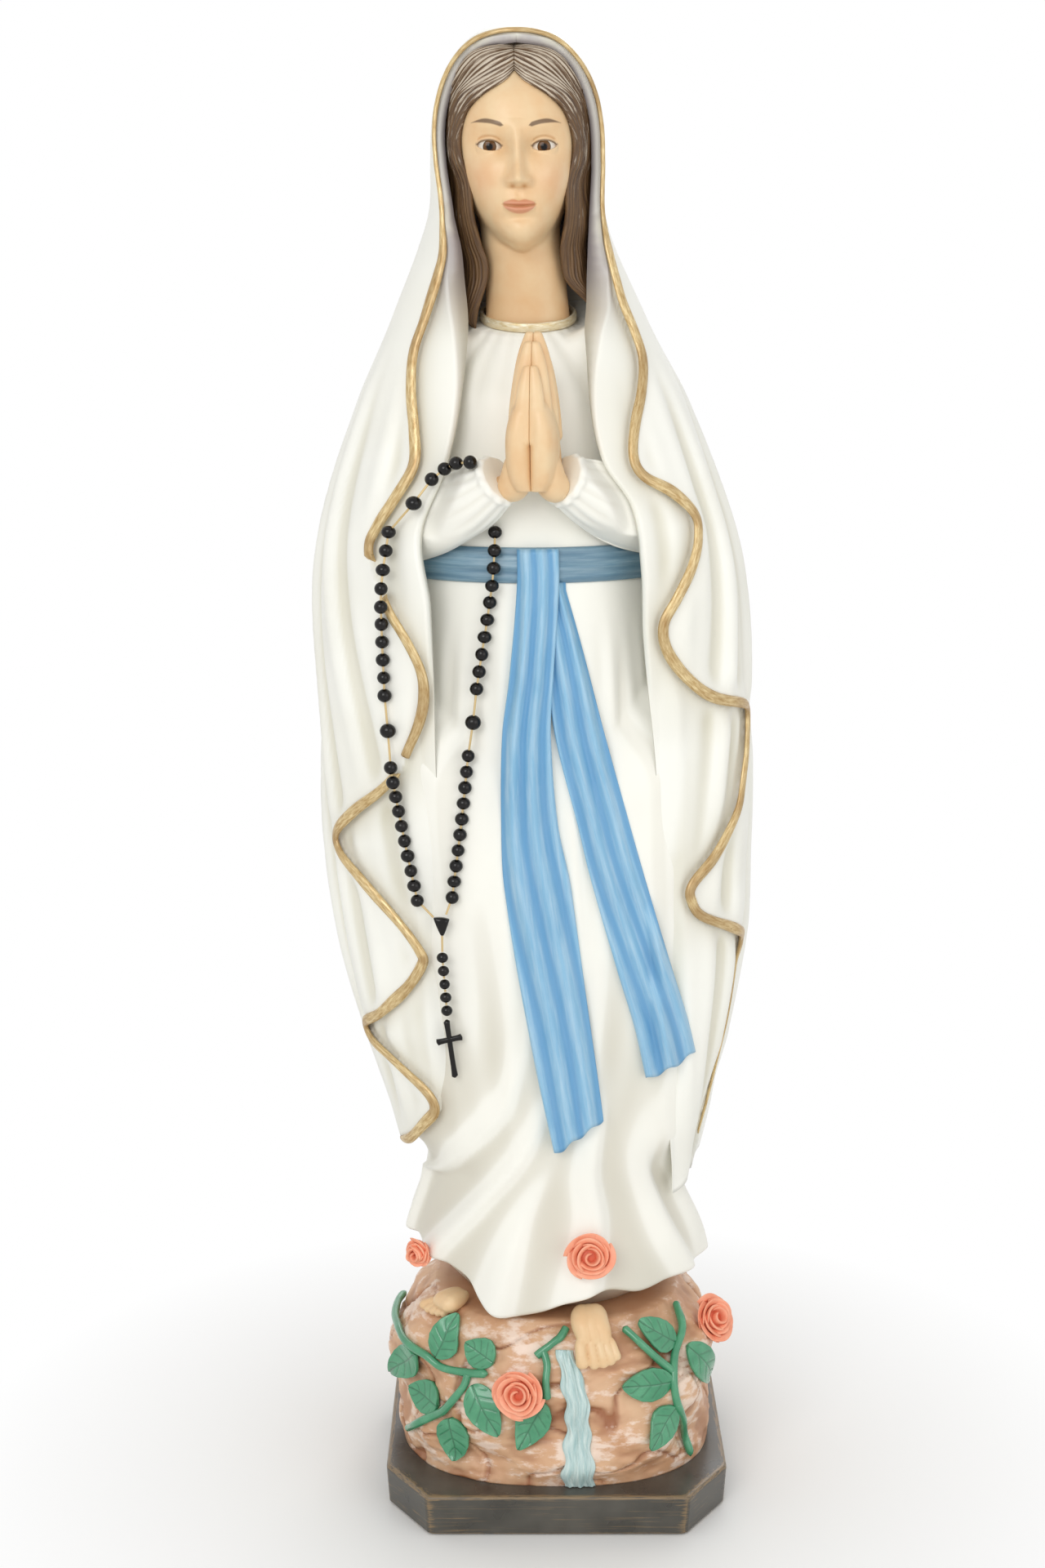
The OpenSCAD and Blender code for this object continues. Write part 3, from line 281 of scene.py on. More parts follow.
# Parts melted into one skin on a grid of voxels, then smoothed a number of rounds
def fusedPiece(node, parts, voxel, rounds, paint):
    name = pieceName(node)
    made = bpy.data.objects.new(name, meshFrom(name, joinParts([turnedOut(p) for p in parts])))
    bpy.context.scene.collection.objects.link(made)
    melt = made.modifiers.new("melt", "REMESH")
    melt.mode = "VOXEL"
    melt.voxel_size = voxel * mm
    soften = made.modifiers.new("soften", "SMOOTH")
    soften.factor = 0.5
    soften.iterations = rounds
    whole = made.evaluated_get(bpy.context.evaluated_depsgraph_get())
    mesh = bpy.data.meshes.new_from_object(whole)
    made.modifiers.clear()
    made.data = mesh
    mesh.polygons.foreach_set("use_smooth", np.ones(len(mesh.polygons), bool))
    return settle(made, paints[paint], paint, node)


def pointsOf(mesh):  # a mesh's points in millimetres
    co = np.zeros(len(mesh.vertices) * 3, np.float32)
    mesh.vertices.foreach_get("co", co)
    return co.reshape(-1, 3).astype(float) / mm


def hollowness(mesh, rounds=2):  # how far each point lies below its neighbours, averaged a few times
    p = pointsOf(mesh)
    normal = np.zeros(len(p) * 3, np.float32)
    mesh.vertices.foreach_get("normal", normal)
    normal = normal.reshape(-1, 3)
    edges = np.zeros(len(mesh.edges) * 2, np.int32)
    mesh.edges.foreach_get("vertices", edges)
    a, b = edges.reshape(-1, 2).T
    count = np.maximum(np.bincount(a, minlength=len(p)) + np.bincount(b, minlength=len(p)), 1)

    def around(v):  # mean over the neighbours
        return (np.bincount(a, v[b], len(p)) + np.bincount(b, v[a], len(p))) / count

    mean = np.stack([around(p[:, k]) for k in range(3)], -1)
    out = np.einsum("ij,ij->i", mean - p, normal)
    for _ in range(rounds):
        out = 0.5 * out + 0.5 * around(out)
    return out


def ringsAlong(path, wide, high, up, count):  # ellipses square to a path, with up as their upper side
    t = unit(np.gradient(path, axis=0))
    u = unit(np.cross(np.broadcast_to(up, t.shape), t))
    v = np.cross(t, u)
    angle = np.linspace(0, 2 * np.pi, count, endpoint=False)
    wide = np.broadcast_to(wide, len(path))[:, None, None]
    high = np.broadcast_to(high, len(path))[:, None, None]
    return (path[:, None] + u[:, None] * wide * np.cos(angle)[None, :, None]
            + v[:, None] * high * np.sin(angle)[None, :, None])


def ringAngles(columns):  # degrees round a ring
    return np.linspace(0, 360, columns, endpoint=False)[None]


def sheetGrid(rows, columns):  # v from 0 to 1 up the rows, u from -1 to 1 across the columns
    return np.linspace(0, 1, rows)[:, None], np.linspace(-1, 1, columns)[None]


def ballGrid(rows, columns):  # latitude up the rows, longitude round the columns
    return np.linspace(-90, 90, rows)[:, None], ringAngles(columns)


# Materials
def tint(r, g, b):  # a colour written in screen numbers, as linear light
    c = np.array([r, g, b]) / 255.0
    c = np.where(c <= 0.04045, c / 12.92, ((c + 0.055) / 1.055) ** 2.4)
    return (float(c[0]), float(c[1]), float(c[2]), 1.0)


def feed(tree, made, inputs):  # links sockets to a node's inputs and sets plain values on them
    for key, value in inputs.items():
        if isinstance(value, bpy.types.NodeSocket):
            tree.links.new(value, made.inputs[key])
        else:
            made.inputs[key].default_value = value


def addNode(tree, kind, inputs, **settings):  # a shader node with its settings and inputs
    made = tree.nodes.new("ShaderNode" + kind)
    for key, value in settings.items():
        setattr(made, key, value)
    feed(tree, made, inputs)
    return made


def mixColours(tree, factor, a, b, blend="MIX"):  # a at 0 and b at 1
    made = addNode(tree, "Mix", {0: factor, 6: a, 7: b}, data_type="RGBA", blend_type=blend)
    return made.outputs[2]


def sums(tree, operation, a, b=0.0):  # arithmetic on two numbers
    return addNode(tree, "Math", {0: a, 1: b}, operation=operation).outputs[0]


def fitRange(tree, value, low, high, toLow=0.0, toHigh=1.0):  # one range carried over to another, clamped
    return addNode(tree, "MapRange", {0: value, 1: low, 2: high, 3: toLow, 4: toHigh}).outputs[0]


def startGroup(name, inputs, outputs):  # an empty node group with its sockets
    tree = bpy.data.node_groups.new(name, "ShaderNodeTree")
    for label, kind, value in inputs:
        socket = tree.interface.new_socket(name=label, in_out="INPUT", socket_type="NodeSocket" + kind)
        if value is not None:
            socket.default_value = value
    for label, kind in outputs:
        tree.interface.new_socket(name=label, in_out="OUTPUT", socket_type="NodeSocket" + kind)
    return tree, tree.nodes.new("NodeGroupInput").outputs, tree.nodes.new("NodeGroupOutput")


def buildMottle():  # broad and fine noise: patches in the paint, and the casting's slight unevenness
    tree, given, out = startGroup("mottle", [("Vector", "Vector", None), ("Scale", "Float", 60.0)],
                                  [("Patch", "Float"), ("Height", "Float")])
    vector, scale = given["Vector"], given["Scale"]
    broad = addNode(tree, "TexNoise", {"Vector": vector, "Scale": scale, "Detail": 3.0}).outputs["Fac"]
    finer = sums(tree, "MULTIPLY", scale, 7.0)
    fine = addNode(tree, "TexNoise", {"Vector": vector, "Scale": finer, "Detail": 4.0}).outputs["Fac"]
    both = sums(tree, "ADD", sums(tree, "MULTIPLY", fine, 0.35), broad)
    feed(tree, out, {"Patch": fitRange(tree, broad, 0.3, 0.7), "Height": both})
    return tree


def buildStrokes():  # noise drawn out along one axis by the mapping in front of it: strokes of a brush
    inputs = [("Vector", "Vector", None), ("Scale", "Float", 40.0), ("Low", "Float", 0.45),
              ("High", "Float", 0.7)]
    tree, given, out = startGroup("strokes", inputs, [("Mask", "Float")])
    grain = addNode(tree, "TexNoise", {"Vector": given["Vector"], "Scale": given["Scale"], "Detail": 5.0,
                                       "Roughness": 0.62})
    feed(tree, out, {"Mask": fitRange(tree, grain.outputs["Fac"], given["Low"], given["High"])})
    return tree


def buildHighlightAndDryBrush():  # pale paint on raised places, broken up by noise: a painted highlight on the hair and rock, rubbed-through edges on the plinth
    inputs = [("High", "Float", 0.5), ("Vector", "Vector", None), ("Scale", "Float", 200.0)]
    tree, given, out = startGroup("highlightAndDryBrush", inputs, [("Mask", "Float")])
    speck = addNode(tree, "TexNoise", {"Vector": given["Vector"], "Scale": given["Scale"], "Detail": 5.0,
                                       "Roughness": 0.65})
    both = sums(tree, "ADD", given["High"], fitRange(tree, speck.outputs["Fac"], 0.3, 0.7, -0.5, 0.5))
    feed(tree, out, {"Mask": fitRange(tree, both, 0.42, 0.78)})
    return tree


groups = {"mottle": buildMottle(), "strokes": buildStrokes(), "highlightAndDryBrush": buildHighlightAndDryBrush()}


def place(tree, name, **inputs):  # one of the groups, with its own values
    made = tree.nodes.new("ShaderNodeGroup")
    made.node_tree = groups[name]
    feed(tree, made, inputs)
    return made.outputs


def startMaterial(name):  # a material with its shader and both kinds of coordinates
    made = bpy.data.materials.new(name)
    made.use_nodes = True
    tree = made.node_tree
    tree.nodes.clear()
    shader = tree.nodes.new("ShaderNodeBsdfPrincipled")
    out = tree.nodes.new("ShaderNodeOutputMaterial")
    tree.links.new(shader.outputs[0], out.inputs["Surface"])
    where = addNode(tree, "TexCoord", {})
    return made, tree, shader, where.outputs["Object"], where.outputs["UV"]


def field(tree, name, colour=False):  # what the mesh carries at each point
    made = addNode(tree, "Attribute", {}, attribute_name=name)
    return made.outputs["Color" if colour else "Fac"]


def between(tree, mask, low, high):  # a mask of 0 to 1 carried over to a range
    return fitRange(tree, mask, 0.0, 1.0, low, high)


def shaded(tree, colour, deep):  # the piece's painted shade field brings in a deeper colour
    return mixColours(tree, between(tree, field(tree, "shade"), 0.0, 1.0), colour, deep)


def stretched(tree, vector, x, y, z):  # coordinates scaled along each axis
    return addNode(tree, "Mapping", {"Vector": vector, "Scale": (x, y, z)}).outputs[0]


def brushed(tree, vector, stretch, scale, low, high):  # strokes along the axis that is scaled down
    vector = stretched(tree, vector, *stretch)
    return place(tree, "strokes", Vector=vector, Scale=scale, Low=low, High=high)["Mask"]


# Colour, shine and relief in millimetres, and plain values by the names of their sockets
def dress(tree, shader, colour, rough, height=None, strength=0.2, depth=0.4, **plain):
    feed(tree, shader, {"Base Color": colour, "Roughness": rough})
    if height is not None:
        bump = addNode(tree, "Bump", {"Height": height, "Strength": strength, "Distance": depth * mm})
        feed(tree, shader, {"Normal": bump.outputs[0]})
    feed(tree, shader, {key.replace("_", " "): value for key, value in plain.items()})


# Colours of each finish: two tones that lie in patches or strokes, then what goes over them: the deep ones
# are painted shade, and the pale ones of the hair and rock a painted highlight
tints = {
    "mantle": [tint(250, 250, 243), tint(244, 244, 237), tint(214, 209, 186)],
    "gown": [tint(250, 249, 240), tint(244, 243, 235), tint(220, 216, 202)],
    # grey painted shade inside the hood and on its rim
    "lining": tint(168, 161, 164),
    "warmth": tint(250, 236, 224),
    "gilt": [tint(182, 148, 92), tint(242, 222, 172), tint(146, 108, 60)],
    "band": [tint(214, 190, 134), tint(253, 248, 230), tint(172, 144, 90)],
    "sash": [tint(128, 180, 214), tint(144, 192, 222), tint(186, 214, 232), tint(88, 150, 196)],
    # the sash's blue made darker and greyer for the belt: painted shade under the arms
    "belt": [tint(98, 134, 156), tint(112, 148, 168), tint(166, 190, 202), tint(78, 112, 136)],
    "hair": [tint(68, 45, 26), tint(120, 90, 56), tint(221, 208, 189)],
    "leaf": [tint(60, 140, 100), tint(86, 160, 120), tint(48, 108, 76)],
    "rose": [tint(245, 158, 124), tint(252, 184, 152), tint(220, 108, 76)],
    "rock": [tint(206, 156, 118), tint(222, 182, 146), tint(160, 104, 70), tint(243, 222, 206)],
    "water": [tint(168, 198, 198), tint(216, 232, 228)],
    "plinth": [tint(64, 62, 57), tint(88, 85, 78), tint(150, 124, 88)],
    "bead": [tint(8, 7, 6), tint(24, 20, 18)],
    "felt": [tint(26, 52, 38), tint(44, 76, 58)],
    "steel": [tint(150, 150, 152), tint(188, 188, 190)],
    "beech": [tint(214, 176, 132), tint(186, 144, 100)],
    # pupil, iris, its dark rim and the white, by the angle from the line of sight
    "eye": [(0.0, tint(10, 8, 8)), (0.13, tint(14, 10, 8)), (0.16, tint(84, 54, 26)),
            (0.26, tint(112, 76, 38)), (0.3, tint(52, 34, 20)), (0.33, tint(226, 218, 206)),
            (1.0, tint(222, 206, 194))],
}


# Two tones in patches, with a third as painted shade and a fourth as greyer painted shade inside the hood
# where given
def mottledPaint(name, tones, scale, rough, strength, depth, lining=None, **plain):
    made, tree, shader, objects, _ = startMaterial(name)
    patch = place(tree, "mottle", Vector=objects, Scale=scale)
    colour = mixColours(tree, patch["Patch"], tones[0], tones[1])
    if len(tones) > 2:
        colour = shaded(tree, colour, tones[2])
    if lining:
        colour = mixColours(tree, field(tree, "lining"), colour, lining)
    if not isinstance(rough, float):
        rough = between(tree, patch["Patch"], *rough)
    dress(tree, shader, colour, rough, patch["Height"] if strength else None, strength, depth, **plain)
    return made


def skinPaint(name):  # flesh paint with its painted shade, carried as a colour on each point, with a faint mottle
    made, tree, shader, objects, _ = startMaterial(name)
    patch = place(tree, "mottle", Vector=objects, Scale=90.0)
    base = field(tree, "paint", True)
    warm = mixColours(tree, 1.0, base, tints["warmth"], "MULTIPLY")
    colour = mixColours(tree, patch["Patch"], base, warm)
    rough = between(tree, patch["Patch"], 0.34, 0.44)
    dress(tree, shader, colour, rough, patch["Height"], strength=0.05, depth=0.3)
    return made


def giltPaint(name, metal, low, high, deep):  # bronze-gold paint in brighter and darker strokes, with painted shade where the shade field is high
    made, tree, shader, objects, uv = startMaterial(name)
    patch = place(tree, "mottle", Vector=objects, Scale=120.0)
    patchy = brushed(tree, uv, (1.0, 0.12, 1.0), 1.6, 0.35, 0.7)
    colour = shaded(tree, mixColours(tree, patchy, low, high), deep)
    rough = between(tree, patch["Patch"], 0.26, 0.42)
    dress(tree, shader, colour, rough, patch["Height"], strength=0.15, depth=0.2, Metallic=metal)
    return made


def sashPaint(name, low, high, streak, deep):  # blue with paler strokes along the cloth and painted shade in the flutes
    made, tree, shader, objects, uv = startMaterial(name)
    patch = place(tree, "mottle", Vector=objects, Scale=40.0)
    strokes = brushed(tree, uv, (0.55, 0.035, 1.0), 1.0, 0.42, 0.72)
    blue = mixColours(tree, patch["Patch"], low, high)
    colour = shaded(tree, mixColours(tree, sums(tree, "MULTIPLY", strokes, 0.7), blue, streak), deep)
    dress(tree, shader, colour, between(tree, strokes, 0.34, 0.46), strokes, strength=0.12, depth=0.2)
    return made


def hairPaint(name, low, high, pale):  # dark brown strands with a pale painted highlight near the parting and on the strands' ridges
    made, tree, shader, _, uv = startMaterial(name)
    strands = brushed(tree, uv, (1.0, 0.05, 1.0), 0.9, 0.35, 0.68)
    along = stretched(tree, uv, 1.0, 0.06, 1.0)
    highlightAndBrush = place(tree, "highlightAndDryBrush", High=field(tree, "light"), Vector=along, Scale=1.1)
    brown = mixColours(tree, strands, low, high)
    colour = mixColours(tree, sums(tree, "MULTIPLY", highlightAndBrush["Mask"], 0.85), brown, pale)
    dress(tree, shader, colour, between(tree, strands, 0.42, 0.56), strands, strength=0.4, depth=0.3)
    return made


def rockPaint(name, low, high, deep, pale):  # warm brown with painted shade in the hollows, and pale brushed paint over raised places that is also a painted highlight
    made, tree, shader, objects, _ = startMaterial(name)
    patch = place(tree, "mottle", Vector=objects, Scale=70.0)
    brown = shaded(tree, mixColours(tree, patch["Patch"], low, high), deep)
    level = stretched(tree, objects, 1.0, 1.0, 2.6)
    highlightAndBrush = place(tree, "highlightAndDryBrush", High=field(tree, "light"), Vector=level, Scale=120.0)
    colour = mixColours(tree, sums(tree, "MULTIPLY", highlightAndBrush["Mask"], 0.82), brown, pale)
    rough = between(tree, patch["Patch"], 0.36, 0.52)
    dress(tree, shader, colour, rough, patch["Height"], strength=0.35, depth=0.6)
    return made


def waterPaint(name, low, high):  # pale blue with white and grey strokes down the fall
    made, tree, shader, _, uv = startMaterial(name)
    strokes = brushed(tree, uv, (0.8, 0.06, 1.0), 1.2, 0.38, 0.66)
    colour = mixColours(tree, strokes, low, high)
    dress(tree, shader, colour, between(tree, strokes, 0.16, 0.32), strokes, strength=0.3, depth=0.3,
          Coat_Weight=0.3, Coat_Roughness=0.1)
    return made


def plinthPaint(name, low, high, bronze):  # dark paint, rubbed through along the edges and down the sides
    made, tree, shader, objects, uv = startMaterial(name)
    patch = place(tree, "mottle", Vector=objects, Scale=50.0)
    dark = mixColours(tree, patch["Patch"], low, high)
    strokes = brushed(tree, uv, (0.05, 0.9, 1.0), 1.0, 0.56, 0.74)
    along = stretched(tree, uv, 0.12, 1.0, 1.0)
    edge = place(tree, "highlightAndDryBrush", High=field(tree, "light"), Vector=along, Scale=1.4)
    rubbed = sums(tree, "MAXIMUM", sums(tree, "MULTIPLY", strokes, field(tree, "side")), edge["Mask"])
    colour = mixColours(tree, sums(tree, "MULTIPLY", rubbed, 0.7), dark, bronze)
    rough = between(tree, patch["Patch"], 0.24, 0.4)
    dress(tree, shader, colour, rough, patch["Height"], strength=0.1, depth=0.3)
    return made


def eyeGlass(name, *stops):  # ringed by the angle from the line of sight
    made, tree, shader, _, _ = startMaterial(name)
    ring = addNode(tree, "ValToRGB", {"Fac": field(tree, "ring")})
    while len(ring.color_ramp.elements) < len(stops):
        ring.color_ramp.elements.new(1.0)
    for element, (at, colour) in zip(ring.color_ramp.elements, stops):
        element.position = at
        element.color = colour
    dress(tree, shader, ring.outputs["Color"], 0.08, Specular_IOR_Level=0.25)
    return made


def beechWood(name, low, high):  # fine upright grain
    made, tree, shader, objects, _ = startMaterial(name)
    grain = brushed(tree, objects, (1.0, 1.0, 0.08), 900.0, 0.45, 0.7)
    dress(tree, shader, mixColours(tree, grain, low, high), 0.6, grain, strength=0.2, depth=0.2)
    return made


leafGloss = {"Coat_Weight": 0.35, "Coat_Roughness": 0.12}
paints = {
    "mantle": mottledPaint("mantlePaint", tints["mantle"], 22.0, (0.36, 0.5), 0.12, 0.5, tints["lining"]),
    "gown": mottledPaint("gownPaint", tints["gown"], 22.0, (0.36, 0.5), 0.12, 0.5, tints["lining"]),
    "skin": skinPaint("skinPaint"),
    "hair": hairPaint("hairPaint", *tints["hair"]),
    "gilt": giltPaint("giltPaint", 0.3, *tints["gilt"]),
    "band": giltPaint("bandPaint", 0.2, *tints["band"]),
    "sash": sashPaint("sashPaint", *tints["sash"]),
    "belt": sashPaint("beltShadedSashPaint", *tints["belt"]),
    "leaf": mottledPaint("leafPaint", tints["leaf"], 130.0, (0.18, 0.3), 0.06, 0.2, **leafGloss),
    "stem": mottledPaint("stemPaint", tints["leaf"], 130.0, (0.18, 0.3), 0.06, 0.2, **leafGloss),
    "rose": mottledPaint("rosePaint", tints["rose"], 170.0, (0.4, 0.55), 0.2, 0.3),
    "rock": rockPaint("rockPaint", *tints["rock"]),
    "water": waterPaint("waterPaint", *tints["water"]),
    "plinth": plinthPaint("plinthPaint", *tints["plinth"]),
    "bead": mottledPaint("beadPaint", tints["bead"], 260.0, (0.1, 0.2), 0.1, 0.2, Specular_IOR_Level=0.3),
    "eye": eyeGlass("eyeGlass", *tints["eye"]),
    "felt": mottledPaint("feltCloth", tints["felt"], 300.0, 0.95, 0.6, 0.5),
    "steel": mottledPaint("plainSteel", tints["steel"], 400.0, (0.3, 0.45), 0.0, 0.0, Metallic=1.0),
    "beech": beechWood("beechWood", *tints["beech"]),
}
print("paints:", len(paints))


# The figure's frame: heights h above the rock, angle 0 in front and 90 at the viewer's right
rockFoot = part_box("rock_mound")[0].z / mm
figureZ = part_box("rock_mound")[1].z / mm
figureY = 2.0
figureLean = 17.0
waistH, neckH, chinH, templeH = 316.0, 410.0, 440.0, 474.0
veilH, archH = 524.0, 518.9  # top of the hood, and of its opening over the forehead


def axisX(h):  # the figure leans to the viewer's left as it rises to the chin
    return -figureLean * clampTo(h / chinH, 0, 1)


mantleForm = {
    # thickness, and how much more the lining has behind the neck, at what height and span
    "wall": 3.5, "lining": 9.0, "liningAt": 416, "liningSpan": 24,
    # upright folds, side folds, swell and drop at the trim, rounded edge, lower front, soft unevenness
    "foldDepth": 1.8, "sideDepth": 1.5, "rollOut": 0.8, "sinkIn": 1.9, "edgeRoll": 1.6, "edgeRound": 1.8,
    "frontSink": 3.6, "softDepth": 0.5, "softSize": 38, "deepest": -3.4,
    "hoodRound": 2.3, "hoodNod": 8.0, "columns": 262, "bodyRows": 188, "hoodRows": 44, "crownRows": 10,
    # half-width, depths ahead and behind and angles of the front edges by height, and the hem by angle
    "half": [[50, 61], [118, 78], [168, 86], [250, 89], [316, 86], [378, 66.5], [412, 51], [450, 35.5],
             [474, 34]],
    "front": [[50, 55], [118, 53], [214, 52], [264, 55], [316, 60], [344, 57], [369, 50], [394, 43],
              [414, 39], [434, 36], [474, 40]],
    "back": [[50, 54], [118, 56], [264, 56], [344, 52], [394, 44], [434, 37], [474, 40]],
    "edgeLeft": [[50, 46], [76, 38], [120, 31], [170, 28.6], [233, 28], [300, 27.4], [330, 31],
                 [355, 25], [384, 23], [405, 28], [425, 38], [440, 43], [450, 52], [474, 65], [485, 68],
                 [497, 68], [506, 66], [512, 61], [515.2, 52], [517.4, 36], [518.9, 0]],
    "edgeRight": [[50, 62], [76, 51], [120, 40], [170, 34.6], [233, 34], [287, 31], [316, 32], [340, 32],
                  [358, 25], [384, 26], [405, 36], [420, 50], [443, 64], [460, 75], [485, 76], [497, 74],
                  [506, 69], [512, 62], [515.2, 52], [517.4, 36], [518.9, 0]],
    "hem": [[-360, 50], [-300, 46], [-275, 58], [-180, 48], [-125, 53], [-100, 62], [-84, 66], [-70, 69],
            [-56, 79], [-48, 88], [-43, 92], [0, 92]],
}
trimForm = {
    "wide": 4.6, "hoodWide": 2.4, "high": 1.5, "hoodHigh": 1.1, "steps": 900, "columns": 14,
    "tucks": [[232, 237.5], [305, 317]],  # heights on the left between which a fold covers the edging
    # from the left hem over the head to the right hem, as angle and height
    "route": [[-76, 67], [-61, 72], [-47, 83], [-41, 90], [-44, 97.6], [-57, 107], [-71, 113.5],
              [-74, 119], [-59, 127], [-44, 140], [-36, 152], [-36, 158], [-43, 170], [-56, 184],
              [-69, 195], [-70, 202], [-58, 213], [-46, 223], [-38, 233], [-35.5, 240], [-31, 253],
              [-29, 264], [-29.5, 275], [-33.5, 287], [-40, 301], [-47, 321], [-45, 331], [-40, 342],
              [-35, 355], [-37, 368], [-42, 384], [-46, 399], [-45, 412], [-44, 428], [-45, 438],
              [-53, 451], [-64, 474], [-67, 485], [-67, 497], [-64, 507], [-57, 513], [-44, 517],
              [-22, 519], [0, 519.4], [22, 519], [44, 517], [57, 513], [67, 506], [73, 497], [75, 484],
              [74, 461], [64, 440], [60, 431], [56, 418], [56, 406], [54, 396], [46, 383], [39, 371],
              [35, 359], [37, 351], [47, 344], [54, 335], [53, 326], [48, 315], [41, 303], [36, 293],
              [37, 282], [44, 270], [55, 261], [78, 254], [80, 245], [72, 228], [67, 213], [55, 196],
              [45, 185], [44.5, 178], [50, 170], [69, 161], [84, 153], [88, 136], [88, 114], [83, 98],
              [80, 84], [78, 68]],
}


def mantleFold(a, h):  # soft upright folds over the sides and back, a cosine of the angle
    away = 125 - np.abs(np.abs(turned(a)) - 180)
    shown = ease((400 - h) / 200) * ease(away / 45)
    return mantleForm["foldDepth"] * shown * cosd(11 * a + 30 * sind(1.5 * h))


def sideFold(a, h):  # broad folds that fall from the shoulders down both sides, two slow cosines
    turn = turned(a)
    slant = turn + np.sign(turn) * 10 * sind(0.9 * (h - 60))
    aside = ease((np.abs(turn) - 30) / 18) * ease((132 - np.abs(turn)) / 40)
    shown = aside * ease((h - 62) / 50) * ease((410 - h) / 70)
    return mantleForm["sideDepth"] * shown * (np.cos(slant * 0.3) + 0.5 * np.cos(slant * 0.52 + h * 0.02))


# An ellipse at each height, closing over the temple as a squarish dome that nods forward
def mantleAt(a, h, off=0.0):
    rise = clampTo((h - templeH) / (veilH - templeH), 0, 1)
    cap = (1 - rise ** mantleForm["hoodRound"]) ** (1 / mantleForm["hoodRound"])
    o = off + mantleFold(a, h) * clampTo(1 + off / mantleForm["wall"], 0, 1)
    half, front, back = valuesAt(mantleForm, h, "half", "front", "back")
    d = np.where(cosd(a) > 0, front, back)
    x = axisX(h) + (half + o) * cap * sind(a)
    y = figureY - mantleForm["hoodNod"] * rise * rise - (d + o) * cap * cosd(a)
    z = figureZ + np.where(h > templeH, templeH + rise * (veilH - templeH + off), h)
    return stacked(x, y, z)


def squareTo(surface, a, h, stepA, stepH):  # the cross product of a step round a surface and a step up it
    around = surface(a + stepA, h) - surface(a - stepA, h)
    return unit(np.cross(around, surface(a, h + stepH) - surface(a, h - stepH)))


def mantleOut(a, h):  # kept below the crown, where the steps would meet
    return squareTo(mantleAt, a, clampTo(h, 0, veilH - 1.5), 1, 1)


def edgeAngle(x, h):  # angle of the mantle's front edge on the side where x lies
    return np.where(x < 0, *valuesAt(mantleForm, h, "edgeLeft", "edgeRight"))


trimRoute = smoothRoute(trimForm["route"], trimForm["steps"])
trimLine = mantleAt(trimRoute[:, 0], trimRoute[:, 1])
trimOut = mantleOut(trimRoute[:, 0], trimRoute[:, 1])
trimInward = np.cross(unit(np.gradient(trimLine, axis=0)), trimOut)  # points at the open front of the robe


def fromTrim(p, block=8000):  # distance to the edging, positive towards the open front, a block at a time
    flat = p.reshape(-1, 3)
    out = np.zeros(len(flat))
    for start in range(0, len(flat), block):
        q = flat[start:start + block]
        square = (q * q).sum(1)[:, None] + (trimLine * trimLine).sum(1)[None] - 2 * q @ trimLine.T
        i = square.argmin(1)
        side = np.einsum("ij,ij->i", q - trimLine[i], trimInward[i])
        out[start:start + block] = np.sign(side) * np.sqrt(np.maximum(square[np.arange(len(q)), i], 0))
    return out.reshape(p.shape[:-1])


def trimRelief(d):  # the cloth swells up to its edge and drops to the layer under it
    over = mantleForm["rollOut"] * np.exp(-np.abs(d) / 13)
    under = -mantleForm["sinkIn"] * np.exp(-np.abs(d) / 11)
    return mix(over, under, ease((d + 1.0) / 2.2))


# Columns from the left front edge round the back to the right one, closest at the edges.
# Rows from the hem to the chin, closer up to the arch, and over the crown.
def mantleGrid():
    s = np.linspace(0, 1, mantleForm["columns"])
    c = (s - 0.78 * np.sin(2 * np.pi * s) / (2 * np.pi))[None]
    top = chinH + 4

    def across(h):  # the columns' angles at each height
        left, right = valuesAt(mantleForm, h, "edgeLeft", "edgeRight")
        return -mix(left, 360 - right, c)

    body = np.linspace(0, 1, mantleForm["bodyRows"], endpoint=False)[:, None]
    low = mix(throughKnots(mantleForm["hem"], across(np.array([[60.0]]))), top, body)
    hood = mix(top, archH, 1 - (1 - np.linspace(0, 1, mantleForm["hoodRows"], endpoint=False)) ** 2)
    crown = archH + (veilH - archH) * sind(np.linspace(0, 90, mantleForm["crownRows"]))
    high = np.concatenate([hood, crown])[:, None]
    h = np.concatenate([low, np.broadcast_to(high, (len(high), c.shape[1]))])
    return across(h), h


